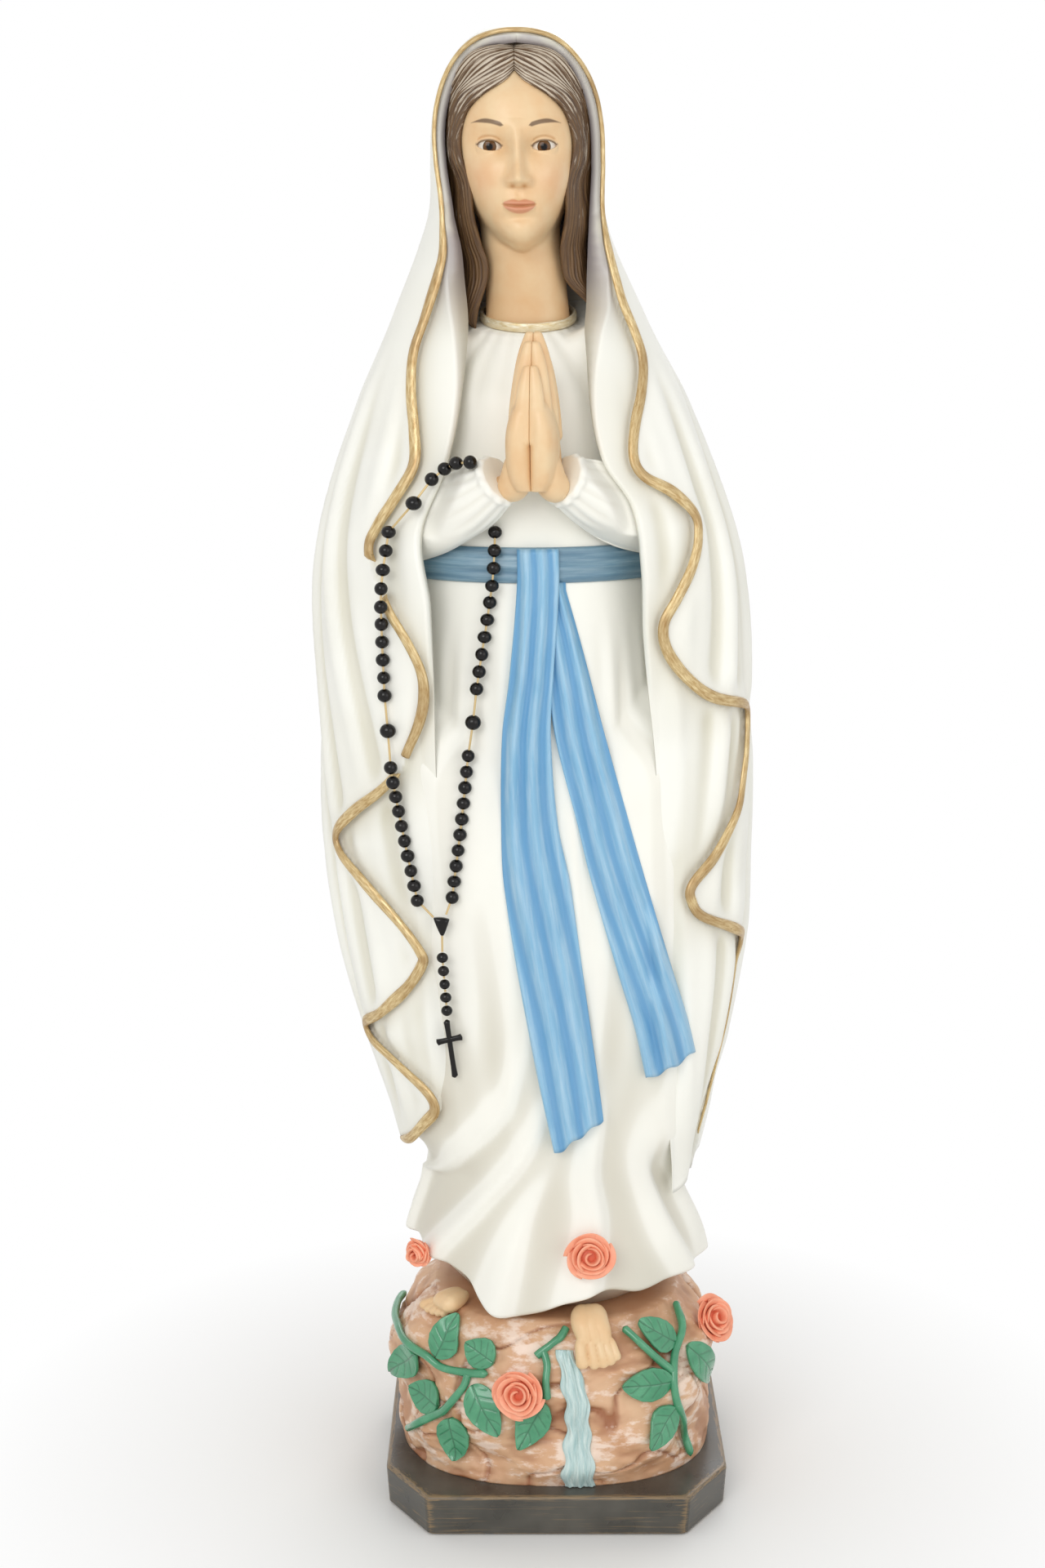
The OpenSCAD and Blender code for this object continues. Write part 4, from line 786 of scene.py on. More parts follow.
def buildMantle():  # outside with trim relief, folds and rounded edges, over a plainer inside
    form = mantleForm
    a, h = mantleGrid()
    base = mantleAt(a, h)
    d = fromTrim(base)
    fromLeft = np.linalg.norm(base - base[:, :1], axis=-1)
    fromRight = np.linalg.norm(base - base[:, -1:], axis=-1)
    fromEdge = np.minimum(fromLeft, fromRight)
    arc = 1 - np.sqrt(1 - (1 - clampTo(fromEdge / form["edgeRound"], 0, 1)) ** 2)
    roll = -form["edgeRoll"] * arc * ease((archH - h) / 3)
    sunk = -form["frontSink"] * (1 - ease(fromEdge / 12)) * ease((285 - h) / 40)  # down onto the gown
    soft = form["softDepth"] * layeredNoise(base, form["softSize"], 3, 2)
    fold = sideFold(a, h) * ease(np.abs(d) / 12)
    relief = trimRelief(d) * ease(np.minimum(40 - np.abs(d), 12) / 12) + roll + sunk + fold
    relief = np.maximum(relief + soft * ease((430 - h) / 60), form["deepest"])
    relief = mix(relief, np.maximum(relief, 0), ease((h - 418) / 14))  # the hood's rim keeps its full wall
    outer = base + mantleOut(a, h) * relief[..., None]
    thicker = form["lining"] * bell(h - form["liningAt"], form["liningSpan"])
    inner = mantleAt(a, h, -form["wall"] - thicker)[::2, ::2]
    # painted shade beside the trim on its open side, in the valleys of the folds, in the low spots and over
    # the whole inside
    valley = -mantleFold(a, h) / form["foldDepth"]
    shade = np.where(d > 0, 0.6 * np.exp(-np.abs(d) / 8), 0) + 0.22 * ease(valley) + 0.1 * ease(-soft * 3)
    shade = clampTo(shade + 0.5 * ease(-fold / form["sideDepth"]), 0, 1)
    # greyer painted shade over the hood's inside and on its rim beyond the trim
    hooded = ease((h - 400) / 40)
    return stitched(outer, inner, shade=[shade, np.full(inner.shape[:2], 0.55)],
                    lining=[hooded * ease((d - 0.5) / 1.5) * 0.8, hooded[::2, ::2]])


def stitched(outer, inner, **fields):  # a fine outside joined to an inside of half the columns and rows
    m, n = outer.shape[:2]
    k, w = inner.shape[:2]
    start = m * n
    faces = [gridFaces(m, n), gridFaces(k, w)[:, ::-1] + start]
    rims = [(np.arange(n), np.arange(w), -1), (np.arange(m) * n, np.arange(k) * w, 1),
            (np.arange(m) * n + n - 1, np.arange(k) * w + w - 1, -1)]  # hem, left and right edge, way round
    for fine, coarse, way in rims:
        c0, c1 = coarse[:-1] + start, coarse[1:] + start
        f0, f1, f2 = (line[:len(c0)] for line in (fine[0:-2:2], fine[1:-1:2], fine[2::2]))
        strip = np.concatenate([np.stack(t, -1) for t in ((f0, f1, c0), (f1, c1, c0), (f1, f2, c1))])
        faces.append(strip[:, ::way])
    points = np.concatenate([outer.reshape(-1, 3), inner.reshape(-1, 3)])
    return points, faces, {key: np.concatenate([v.ravel() for v in pair]) for key, pair in fields.items()}


def bandAlong(line, out, inward, width, height, seat, columns):  # a rounded band lying on a surface
    angle = np.linspace(0, 2 * np.pi, columns, endpoint=False)
    across = np.cos(angle)[None, :, None] * (width / 2)[:, None, None]
    rise = np.sin(angle)[None, :, None]
    rise = np.where(rise > 0, rise * height[:, None, None], rise * 0.7)
    return line[:, None] + inward[:, None] * across + out[:, None] * (rise + seat[:, None, None])


# A ribbon, broad where it faces forward and narrow round the hood, tucked under where folds cover it
def buildTrim():
    columns = trimForm["columns"]
    s = np.linspace(0, 1, len(trimLine))
    a, h = trimRoute[:, 0], trimRoute[:, 1]
    hood = ease((h - 436) / 16)
    ends = 0.35 + 0.65 * ease(s / 0.012) * ease((1 - s) / 0.012)
    tuck = sum(ease((h - low + 2) / 2) * ease((high + 2 - h) / 2) for low, high in trimForm["tucks"])
    tuck = np.where(a < 0, tuck, 0)
    shown = ends * (1 - 0.9 * np.where(a < 0, tuck, 0.75 * ease((152 - h) / 12)))
    width = mix(trimForm["wide"], trimForm["hoodWide"], hood) * (1 + 0.18 * valueNoise(trimLine, 16, 5))
    height = mix(trimForm["high"], trimForm["hoodHigh"], hood) * (1 + 0.12 * valueNoise(trimLine, 9, 6))
    seat = 1.05 * shown - 2.6 * tuck
    rings = bandAlong(trimLine, trimOut, trimInward, width * shown, height * shown, seat, columns)
    run = np.concatenate([[0], np.cumsum(np.linalg.norm(np.diff(trimLine, axis=0), axis=1))])
    uv = stacked(np.linspace(0, 9, columns)[None], run[:, None])
    bend = np.linalg.norm(np.gradient(unit(np.gradient(trimLine, axis=0)), axis=0), axis=1)
    # darker in random patches and at the sharp bends, with painted shade on the band's lower side against
    # the cloth
    patchy = 0.45 * ease(valueNoise(trimLine, 22, 8) * 1.6) + 0.5 * ease(bend / 0.12)
    dark = patchy[:, None] + 0.35 * ease(-np.sin(np.linspace(0, 6.28, columns)))[None]
    return tubePart(rings, uvMap=uv, shade=clampTo(dark, 0, 1))


addPiece("mantle", [buildMantle()], "mantle")
addPiece("mantle_trim", [buildTrim()], "gilt")

gownForm = {
    "pleats": 13, "pleatDepth": 4.2, "tuck": 3.0, "coreGap": 1.2, "ridgeDepth": 4.6,
    "crestWide": [10.5, 6.5], "steepest": 0.985, "hemRoll": 0.9, "hemRound": 2.2,
    "columns": 340, "rows": 200,
    "half": [[0, 65], [24, 62], [54, 53], [114, 62], [214, 62], [300, 56], [316, 54], [350, 52],
             [380, 47], [398, 36], [410, 23]],
    "front": [[0, 56], [24, 53], [54, 49], [114, 48], [214, 46], [300, 44], [316, 43], [350, 40],
              [380, 36], [398, 29], [410, 21]],
    "back": [[0, 52], [54, 42], [380, 40], [398, 32], [410, 23]],
    "hem": [[-180, 12], [-110, 17], [-80, 23.5], [-62, 21.5], [-45, 18], [-36, 14.5], [-30, 8], [-24, 3],
            [-17, 2.5], [-6, 5], [5, 10], [20, 13], [35, 10], [52, 12], [80, 13], [120, 12], [180, 12]],
    # crests of the folds that sweep down from the knee: height and distance from the axis
    "ridges": [[[20, -72], [44, -61], [64, -39.5], [89, -20.5], [124, -9.4], [170, -5]],
               [[0, -62], [23, -50.5], [44, -33.2], [70, -12.8], [96, -2.1], [130, 3]],
               [[0, -26], [5, -25.3], [41, -14], [71, 0.4], [100, 8]],
               [[0, 10], [10, 11.5], [41, 17.6], [64, 16], [99, 23.2], [140, 26]],
               [[0, 62], [18, 54.4], [41, 44.1], [64, 37.6], [86, 37.2], [130, 40]],
               [[10, 72], [32, 60.2], [41, 55], [77, 46.4], [103, 44.8], [150, 46]]],
    "reach": [150, 128, 92, 130, 118, 140],  # height at which each of them has faded out
}


def pleatDepth(h):  # deepest at the hem, gone under the waist
    return gownForm["pleatDepth"] * (0.12 + 0.88 * ease((180 - h) / 180)) * ease((waistH - 8 - h) / 60)


def sweepDepth(h):  # of the folds in front, gone above the knee
    return gownForm["ridgeDepth"] * ease((165 - h) / 90)


# Crests along the fold lines in front, sharper on their right, and even pleats at the sides and back
def gownFold(a, h):
    half = throughKnots(gownForm["half"], h)
    width = mix(*gownForm["crestWide"], clampTo(h / 110, 0, 1))
    steepest = gownForm["steepest"]
    swell = 0.0
    for line, reach in zip(gownForm["ridges"], gownForm["reach"]):
        x = throughKnots(line, h) / half
        near = clampTo(x, -steepest, steepest)
        off = (a - (np.degrees(np.arcsin(near)) + 40 * (x - near))) * 0.96
        crest = np.where(off < 0, bell(off, width), bell(off, 0.6 * width))
        swell = swell + ease((reach - h) / 90) * crest
    fine = 0.45 * (np.cos(a * 0.42 + 1.7 * sind(2.1 * h)) + 0.7 * np.cos(a * 0.71 - h * 0.016))
    soft = fine * ease((300 - h) / 40) * ease((h - 60) / 80)
    swept = sweepDepth(h) * (clampTo(swell, 0, 1.2) - 0.3) + soft
    pleated = pleatDepth(h) * cosd(gownForm["pleats"] * (a + 25))
    return mix(pleated, swept, ease((98 - np.abs(a)) / 24))


def belowWaist(h):  # 0 at the belt, 1 at the knee
    return ease((308 - h) / 90)


def gownFill(a, h):  # 1 where the gown is filled out to the mantle, from 20 degrees ahead of its edge
    start = mix(80, edgeAngle(a, h) - 20, belowWaist(h))
    return ease((np.abs(a) - start) / 20) * ease((h - 56) / 20) * ease((396 - h) / 20)


def gownAt(a, h, off, folded=True):  # an ellipse at each height, filled out to the mantle at the sides
    o = off + (gownFold(a, h) if folded else 0.0)
    half, front, back = valuesAt(gownForm, h, "half", "front", "back")
    d = np.where(cosd(a) > 0, front, back)
    fill = gownFill(a, h)
    m = mantleAt(a, h, -gownForm["tuck"])
    x = mix(axisX(h) + (half + o) * sind(a), m[..., 0], fill)
    y = mix(figureY - (d + o) * cosd(a), m[..., 1], fill)
    return stacked(x, y, figureZ + h)


def bowed(x, half, front):  # depth of an ellipse at x from the axis
    across = clampTo(x / half, -0.98, 0.98)
    return figureY - front * np.sqrt(1 - across ** 2)


def gownY(x, h):  # depth of the gown without its folds
    return bowed(x, *valuesAt(gownForm, h, "half", "front"))


def mantleY(x, h, inset=0.0):  # depth of the mantle without its folds
    half, front = valuesAt(mantleForm, h, "half", "front")
    return bowed(x, half - inset, front - inset)


def mantleEdge(x, h):  # distance of the mantle's front edge from the axis
    return throughKnots(mantleForm["half"], h) * sind(edgeAngle(x, h))


def filledOut(x, h, y, inset):  # brings a depth forward to the mantle as the gown's filling does
    filled = ease((np.abs(x) - 8) / (mantleEdge(x, h) - 8)) * belowWaist(h)
    return mix(y, np.minimum(y, mantleY(x, h, inset)), filled)


def clothY(x, h):  # depth of whichever cloth lies foremost
    crest = np.maximum(pleatDepth(h), 0.9 * sweepDepth(h))
    g = filledOut(x, h, gownY(x, h), mantleForm["wall"] + gownForm["coreGap"]) - crest
    return mix(g, np.minimum(g, mantleY(x, h) - 0.5), ease((np.abs(x) - mantleEdge(x, h) + 7) / 6))


def onCloth(x, h, off):  # a place in front of the foremost cloth
    return stacked(axisX(h) + x, clothY(x, h) - off, figureZ + h)


def gownSkin(x, h):  # depth of the folded gown at x from the axis
    a = np.degrees(np.arcsin(clampTo(x / throughKnots(gownForm["half"], h), -0.98, 0.98)))
    return filledOut(x, h, gownY(x, h) - gownFold(a, h), gownForm["tuck"])


def buildSkirt():  # a folded tube from the waist to the hem, rounded there and closed underneath
    s = np.linspace(-1, 1, gownForm["columns"], endpoint=False)
    a = (180 * (0.46 * s + 0.54 * s ** 3))[None]
    v = np.linspace(0, 1, gownForm["rows"])[:, None]
    hem = throughKnots(gownForm["hem"], a)
    h = mix(hem, waistH, v ** 1.15)
    rim = clampTo((h - hem) / gownForm["hemRound"], 0, 1)
    outer = gownAt(a, h, -gownForm["hemRoll"] * (1 - np.sqrt(1 - (1 - rim) ** 2)))
    foot = stacked(40 * sind(a), figureY - 36 * cosd(a), figureZ + 0.15 + 0 * a)
    under = gownAt(a, hem, -2.6) + np.array([0, 0, 0.5])
    lip = gownAt(a, hem, -1.6) + np.array([0, 0, -0.5])
    bottom = [foot, mix(foot, under, 0.7) + np.array([0, 0, 2.0]), under, lip]
    fold = gownFold(a, h)
    # painted shade in the valleys of the folds towards the hem, and over the underside
    shade = 0.85 * ease((0.6 - fold) / 2.4) * ease((190 - h) / 80) + 0.25 * ease(-fold * 2)
    inside = np.full((len(bottom), s.size), 0.8)
    return tubePart(np.concatenate(bottom + [outer]), shade=np.concatenate([inside, clampTo(shade, 0, 1)]))


addPiece("gown_skirt", [buildSkirt()], "gown")

waist = np.array([axisX(waistH), figureY, figureZ + waistH])
headHigh = 75.0


def headX(t):  # the head leans: each level, 0 at the chin and 1 at the crown, lies further left
    return axisX(chinH) + throughKnots([[-0.45, 5], [-0.1, 3.2], [0, 1.9], [1, -1.2]], t)


neck = np.array([headX((neckH - chinH) / headHigh), figureY, figureZ + neckH])
bodiceForm = {"tilt": 14.0, "tiltFrom": 376.0, "gathers": 26, "gatherDepth": 0.3,
              "columns": 260, "rows": 80}


def tilted(p, h):  # the neckline drops towards the front
    drop = (p[..., 1] - figureY) * np.tan(np.radians(bodiceForm["tilt"]))
    drop = drop * ease((h - bodiceForm["tiltFrom"]) / (neckH - bodiceForm["tiltFrom"]))
    return p + np.stack([0 * drop, 0 * drop, drop], -1)


def buildBodice():  # the gown's round above the waist, gathered at the neckline, with two slanting drapes
    a = np.linspace(-180, 180, bodiceForm["columns"], endpoint=False)[None]
    h = np.linspace(waistH + 0.15, neckH, bodiceForm["rows"])[:, None]
    gather = bodiceForm["gatherDepth"] * cosd(bodiceForm["gathers"] * a + 40 * sind(3 * h))
    gather = gather * ease((h - 366) / 26)
    drape = 0.8 * bell(a + 34 + (h - 350) * 0.28, 7) + 0.6 * bell(a - 30 - (h - 352) * 0.22, 7)
    off = gather + drape * ease((h - 325) / 20) - 1.0 * ease((h - 406) / 4)
    p = gownAt(a, h, off, False)
    shoulder = ease((np.abs(a) - 36) / 24) * ease((h - 372) / 14) * ease((409 - h) / 7)
    wall = mantleAt(a, h + 18 * ease((h - 384) / 18), -mantleForm["wall"])  # out and up to the mantle
    p = tilted(mix(p, wall, shoulder[..., None]), h)
    # painted shade in the gathers' valleys and towards the waist under the hands
    shade = 0.12 * ease(-gather * 4) + 0.15 * ease((345 - h) / 25)
    return tubePart(p, shade=clampTo(shade, 0, 1))


addPiece("gown_bodice", [buildBodice()], "gown")

collarForm = {"radius": 18.7, "thick": 0.9, "high": 1.9, "lift": 2.1, "rings": 160, "columns": 16}


def buildCollar():  # a rounded band turned about the neck, tilted with the neckline
    rings, columns = collarForm["rings"], collarForm["columns"]
    a = np.linspace(0, 360, rings, endpoint=False)[:, None]
    t = ringAngles(columns)
    r = collarForm["radius"] + collarForm["thick"] * power(cosd(t), 0.7) + 0.1 * cosd(7 * a)
    z = collarForm["lift"] + collarForm["high"] * power(sind(t), 0.8)
    y, z = swung(-r * cosd(a), z, np.radians(bodiceForm["tilt"]))
    p = neck + stacked(r * sind(a), y, z)
    uv = stacked(6 * t / 360, a * 0.37)
    # painted shade on the band's lower half
    fields = {"shade": 0.4 * ease(-sind(t)), "uvMap": np.concatenate([uv, uv[:1]])}
    points = np.concatenate([p, p[:1]]).reshape(-1, 3)
    return points, [gridFaces(rings + 1, columns, True)], spread(fields, (rings + 1, columns))


addPiece("collar", [buildCollar()], "band", "gilt")

sashForm = {
    "thick": 2.4, "gap": 0.3, "rows": 130, "columns": 44,
    "beltHigh": 14.0, "beltSpan": 72, "beltRows": 26, "beltColumns": 150,
    # each tail: middle and breadth by height, lower end and its slant, upper end from the waist, flutes
    "long": {"middle": [[74, 12.5], [113, 7.2], [151, 2.4], [186, -1.3], [211, -3.5], [248, -3.4],
                        [272, -0.5], [308, 3.5], [324, 4]],
             "breadth": [[74, 22], [113, 25], [186, 27], [211, 23], [248, 19.5], [272, 17.5], [324, 16.5]],
             "low": 74, "top": 6.5, "slant": 14, "over": True, "flutes": 2.6, "turn": 2.2},
    "short": {"middle": [[103, 52], [126, 47.6], [151, 41], [189, 31.3], [211, 26.4], [248, 18],
                         [284, 12.4], [306, 9]],
              "breadth": [[106, 23], [189, 22], [211, 21], [248, 20], [284, 15], [306, 11]],
              "low": 103, "top": -6.8, "slant": 9, "over": False, "flutes": 2.4, "turn": 0.6},
}
sleeveForm = {  # from elbow to cuff: place from the waist, and radius
    "left": [[-52, -20, 13, 14], [-44, -27, 16, 15], [-35, -36, 20, 15.5], [-23, -46, 26, 13.5],
             [-11, -54.6, 35, 9.3]],
    "right": [[55, -20, 16, 14], [47, -27, 19, 15], [38, -36, 23, 15.5], [26, -46, 28, 13.5],
              [13.5, -55, 35, 9.5]],
    "rings": 90, "columns": 80,
}


# Keeps a sleeve ahead of the bodice and the belt, and under the mantle where that covers it
def betweenCloths(p):
    h = p[..., 2] - figureZ
    x = p[..., 0] - axisX(h)
    belt = ease((waistH + sashForm["beltHigh"] / 2 + 10 - h) / 4)
    y = np.minimum(p[..., 1], gownY(x, h) - 1.5 - belt * (sashForm["thick"] + 2 * sashForm["gap"]))
    covered = ease((np.abs(x) - mantleEdge(x, h) + 10) / 6)
    under = mix(y, np.maximum(y, mantleY(x, h) + mantleForm["wall"] + 1.8), covered)
    return stacked(p[..., 0], under, p[..., 2])


def buildSleeve(arm):  # a tube from elbow to cuff, gathered in fine lines towards a scalloped cuff
    rings, columns = sleeveForm["rings"], sleeveForm["columns"]
    line = smoothRoute(arm, rings)
    path = waist + line[:, :3]
    s = np.linspace(0, 1, rings)[:, None]
    angle = ringAngles(columns)
    shape = ringsAlong(path, 1.0, 1.0, (0.0, 0.0, 1.0), columns) - path[:, None]
    pleats = 0.28 * cosd(15 * angle + 60 * sind(200 * s)) * ease((s - 0.62) / 0.2) * ease((0.97 - s) / 0.03)
    folds = 0.8 * cosd(4 * angle + 170 * s) * ease((0.9 - s) / 0.3) * ease(s / 0.2)
    cuff = (1.0 + 0.45 * cosd(12 * angle)) * bell(s - 0.975, 0.02)
    r = line[:, 3:4] + pleats + folds + cuff
    p = betweenCloths(path[:, None] + shape * r[..., None])
    low = mix(path[0], p[:1], 0.1)
    mouth = [mix(path[-1], p[-1:], share) - np.array([0, 0, drop])
             for share, drop in ((0.92, 0.0), (0.72, 0.2), (0.1, 0.5))]
    # painted shade in the valleys of the pleats and folds, and at both ends
    shade = clampTo(0.35 * ease(-pleats * 3) + 0.15 * ease(-folds * 1.5), 0, 1)
    deep = np.full((1, columns), 0.12)
    return tubePart(np.concatenate([low, p] + mouth), shade=np.concatenate([deep, shade, deep, deep, deep]))


for side in ("left", "right"):
    addPiece("sleeve_" + side, [buildSleeve(sleeveForm[side])], "gown")

def buildBelt():  # a band round the waist with two soft flutes along it
    a = np.linspace(-sashForm["beltSpan"], sashForm["beltSpan"], sashForm["beltColumns"])[None]
    s = np.linspace(-1, 1, sashForm["beltRows"])[:, None]
    h = waistH + s * sashForm["beltHigh"] / 2
    flute = 0.35 * np.cos(s * 5.2 + 0.6 * sind(4 * a)) + 0.2 * np.cos(s * 11 + 1.5 * sind(3 * a + 60))
    edge = 1 - np.abs(s) ** 6
    front = gownAt(a, h, sashForm["gap"] + (sashForm["thick"] - 0.2 + flute) * (0.25 + 0.75 * edge), False)
    back = gownAt(a, h, sashForm["gap"] - 0.6, False)
    uv = stacked(s * sashForm["beltHigh"] / 2, a * 0.9)
    # painted shade in the flutes' grooves
    return slabPart(front, back, uvMap=uv, shade=clampTo(0.5 * ease(-flute * 2), 0, 1))


def buildTail(form):  # a strip down the gown, fluted lengthwise by a cosine across it
    low, high = form["low"], waistH + form["top"]
    flutes, turn = form["flutes"] * np.pi, form["turn"]
    v, u = sheetGrid(sashForm["rows"], sashForm["columns"])
    end = low + form["slant"] * (u + 1) / 2 + 1.1 * np.cos(flutes * u + turn)
    h = mix(end, high, v)
    half = throughKnots(form["breadth"], h) / 2
    x = throughKnots(form["middle"], h) + u * half
    step = sashForm["thick"] + sashForm["gap"] if form["over"] else 0
    base = sashForm["gap"] + step * ease((h - 205) / 40)
    wave = np.cos(flutes * (u + 0.12 * sind(2.2 * h)) + turn + 0.012 * (h - low))
    edge = np.sqrt(np.maximum(0, 1 - np.abs(u) ** 5))
    depth = mix(0.9, 1.45, ease((high - h) / 60))
    lift = (sashForm["thick"] - 0.5 + depth * wave) * (0.3 + 0.7 * edge)
    skin, cloth = gownSkin(x, h), clothY(x, h)
    front = stacked(axisX(h) + x, np.minimum(cloth - base - lift, skin - 1.2 - 0.4 * wave), figureZ + h)
    back = stacked(axisX(h) + x, np.maximum(skin, cloth) + 1.2, figureZ + h)
    # painted shade in the flutes' grooves
    shade = clampTo(0.75 * ease((-wave - 0.1) * 1.2), 0, 1)
    return slabPart(front, back, uvMap=stacked(u * half, h), shade=shade)


addPiece("sash_belt", [buildBelt()], "belt", "sash")
for tail in ("long", "short"):
    addPiece("sash_tail_" + tail, [buildTail(sashForm[tail])], "sash")

rosaryForm = {
    "bead": 5.3, "largeBead": 6.0, "pendantShare": 0.82, "rows": 13, "columns": 20,
    # both strands' distance from the axis, and how far the left one clears the trim, by height
    "left": [[180, -50.2], [211, -55.3], [235, -58.3], [250, -58.8], [264, -59.4], [307, -58.2],
             [330, -54.2]],
    "right": [[181, -36.1], [214, -30.7], [240, -27], [254, -24.4], [267, -22.5], [310, -14.4],
              [332, -12.4]],
    "overTrim": [[180, 0], [220, 0], [226, 2], [237, 2], [243, 0], [292, 0], [298, 3], [313, 3],
                 [319, 0]],
    "onArm": [[-37.6, -52.5, 34.6], [-32.6, -52.5, 38.6], [-28, -55, 41], [-22.5, -58.4, 41.6]],
    "largeOnArm": [-44.6, -54.5, 25.5],
    # each run of beads: first height, pitch and number
    "leftRuns": [(264, 7.3, 10), (235, -6.1, 10)], "rightRuns": [(267, 6.9, 10), (240, -6.5, 10)],
    "pendantRun": (157, -5.6, 5), "largeLeft": 249.7, "largeRight": 253.6,
    # middle of the medal, and top of the cross: distance from the axis and height
    "medal": (-40.6, 170.0), "cross": (-40.6, 129.5),
}


def leftBeads(h, d):  # places down the left strand
    standOff = d / 2 + 0.6 + throughKnots(rosaryForm["overTrim"], h)
    return onCloth(throughKnots(rosaryForm["left"], h), h, standOff)


def rightBeads(h, d):  # places down the right strand, raised over the belt
    belt = (sashForm["thick"] + 0.3) * ease((sashForm["beltHigh"] / 2 + 5 - np.abs(h - waistH)) / 3)
    return onCloth(throughKnots(rosaryForm["right"], h), h, d / 2 + 0.15 + belt)


def runOf(start, pitch, number):  # heights of a run of beads
    return start + pitch * np.arange(number)


def buildBeads(places, d, seed):  # slightly squashed balls, no two quite alike
    lat, lon = ballGrid(rosaryForm["rows"], rosaryForm["columns"])
    ball = stacked(cosd(lat) * sind(lon), -cosd(lat) * cosd(lon), sind(lat))
    odd = np.random.default_rng(seed)
    parts = []
    for p, wide in zip(places, np.broadcast_to(d, len(places))):
        size = wide / 2 * (np.array([1.05, 0.98, 0.98]) + odd.uniform(-0.05, 0.05, 3))
        parts.append(tubePart(p + ball * size))
    return parts


beadD, largeD = rosaryForm["bead"], rosaryForm["largeBead"]
pendantH = runOf(*rosaryForm["pendantRun"])
strands = [leftBeads(runOf(*run), beadD) for run in rosaryForm["leftRuns"]]
strands += [rightBeads(runOf(*run), beadD) for run in rosaryForm["rightRuns"]]
pendant = onCloth(-41 + 0.2 * np.arange(len(pendantH)), pendantH, beadD / 2 + 0.3)
smallBeads = np.concatenate(strands + [waist + np.array(rosaryForm["onArm"]), pendant])
bigBeads = np.concatenate([leftBeads(np.array([rosaryForm["largeLeft"]]), largeD),
                           rightBeads(np.array([rosaryForm["largeRight"]]), largeD),
                           [waist + np.array(rosaryForm["largeOnArm"])]])
onPendant = np.arange(len(smallBeads)) >= len(smallBeads) - len(pendant)
beadSizes = np.where(onPendant, rosaryForm["pendantShare"] * beadD, beadD)
addPiece("rosary_beads", buildBeads(smallBeads, beadSizes, 4), "bead")
addPiece("rosary_large_beads", buildBeads(bigBeads, largeD, 9), "bead")


def buildCentre():  # a three-sided medal with a raised middle
    v, u = sheetGrid(20, 20)
    mid = onCloth(*np.array(rosaryForm["medal"]), 2)
    left = mix(-0.4, -3.4, v ** 0.8)
    right = mix(0.6, 3.0, v ** 0.8)
    x = mix(left, right, (u + 1) / 2)
    z = mix(-3.8, 3.0, v) + 0.5 * (1 - u ** 2) * v - 0.3 * u * v
    dome = 0.8 * (1 - u ** 4) * (1 - (2 * v - 1) ** 6)
    return slabPart(mid + stacked(x, -0.5 - dome, z), mid + stacked(x, 1.4 + 0 * x, z))


def buildCross():  # two rounded bars, each a squared tube that swells a little at its ends
    top = onCloth(*np.array(rosaryForm["cross"]), 1.1)
    tilt = np.radians(8)
    down = np.array([np.sin(tilt), 0, -np.cos(tilt)])
    side = np.array([np.cos(tilt + 0.09), 0, np.sin(tilt + 0.09)])
    bars = []
    for start, way, length in ((top - down * 0.6, down, 25.0), (top + down * 8 - side * 5.4, side, 10.8)):
        s = np.linspace(0, 1, 30)
        path = start + way * (s * length)[:, None]
        wide = (1.05 + 0.35 * np.abs(2 * s - 1) ** 4) * ease(np.minimum(s, 1 - s) / 0.03 + 0.35)
        rings = ringsAlong(path, 1.0, 1.0, (0.0, -1.0, 0.0), 16) - path[:, None]
        bars.append(tubePart(path[:, None] + power(rings, 0.7) * wide[:, None, None]))
    return bars


addPiece("rosary_centre", [buildCentre()], "bead")
addPiece("crucifix", buildCross(), "bead")

# the deep colour is painted shade: in the creases, the mouth's line, the nostrils, the lids' fold and under
# the chin
skinForm = {"light": tint(235, 207, 165), "deep": tint(194, 148, 98), "lip": tint(212, 138, 112),
            "brow": tint(92, 68, 48), "lash": tint(76, 52, 38), "blush": tint(233, 188, 148), "creases": 16}


def colourMix(base, other, amount):  # base at 0 and the other colour at 1, point by point
    return base + (np.array(other) - base) * np.asarray(amount)[..., None]


def skinField(piece):  # flesh colour, with painted shade in the creases
    crease = ease(hollowness(piece.data) * skinForm["creases"])
    light = np.broadcast_to(np.array(skinForm["light"]), (len(crease), 4))
    addField(piece.data, "paint", colourMix(light, skinForm["deep"], 0.75 * crease))


# A tube through points, each end domed as a circle of its radius
def limb(points, radii, count=28, rings=40, up=(0.0, 1.0, 0.0), broad=None):
    path = smoothRoute(points, rings)
    r = smoothRoute([[v] for v in radii], rings)[:, 0]
    s = np.linspace(0, 1, rings)
    length = np.linalg.norm(np.diff(path, axis=0), axis=1).sum()
    near = clampTo(np.minimum(s, 1 - s) * length / np.maximum(r, 0.1), 0, 1)
    dome = np.sqrt(1 - (1 - near) ** 2)
    wide = r if broad is None else smoothRoute([[v] for v in broad], rings)[:, 0]
    return tubePart(ringsAlong(path, np.maximum(wide * dome, 0.02), np.maximum(r * dome, 0.02), up, count))


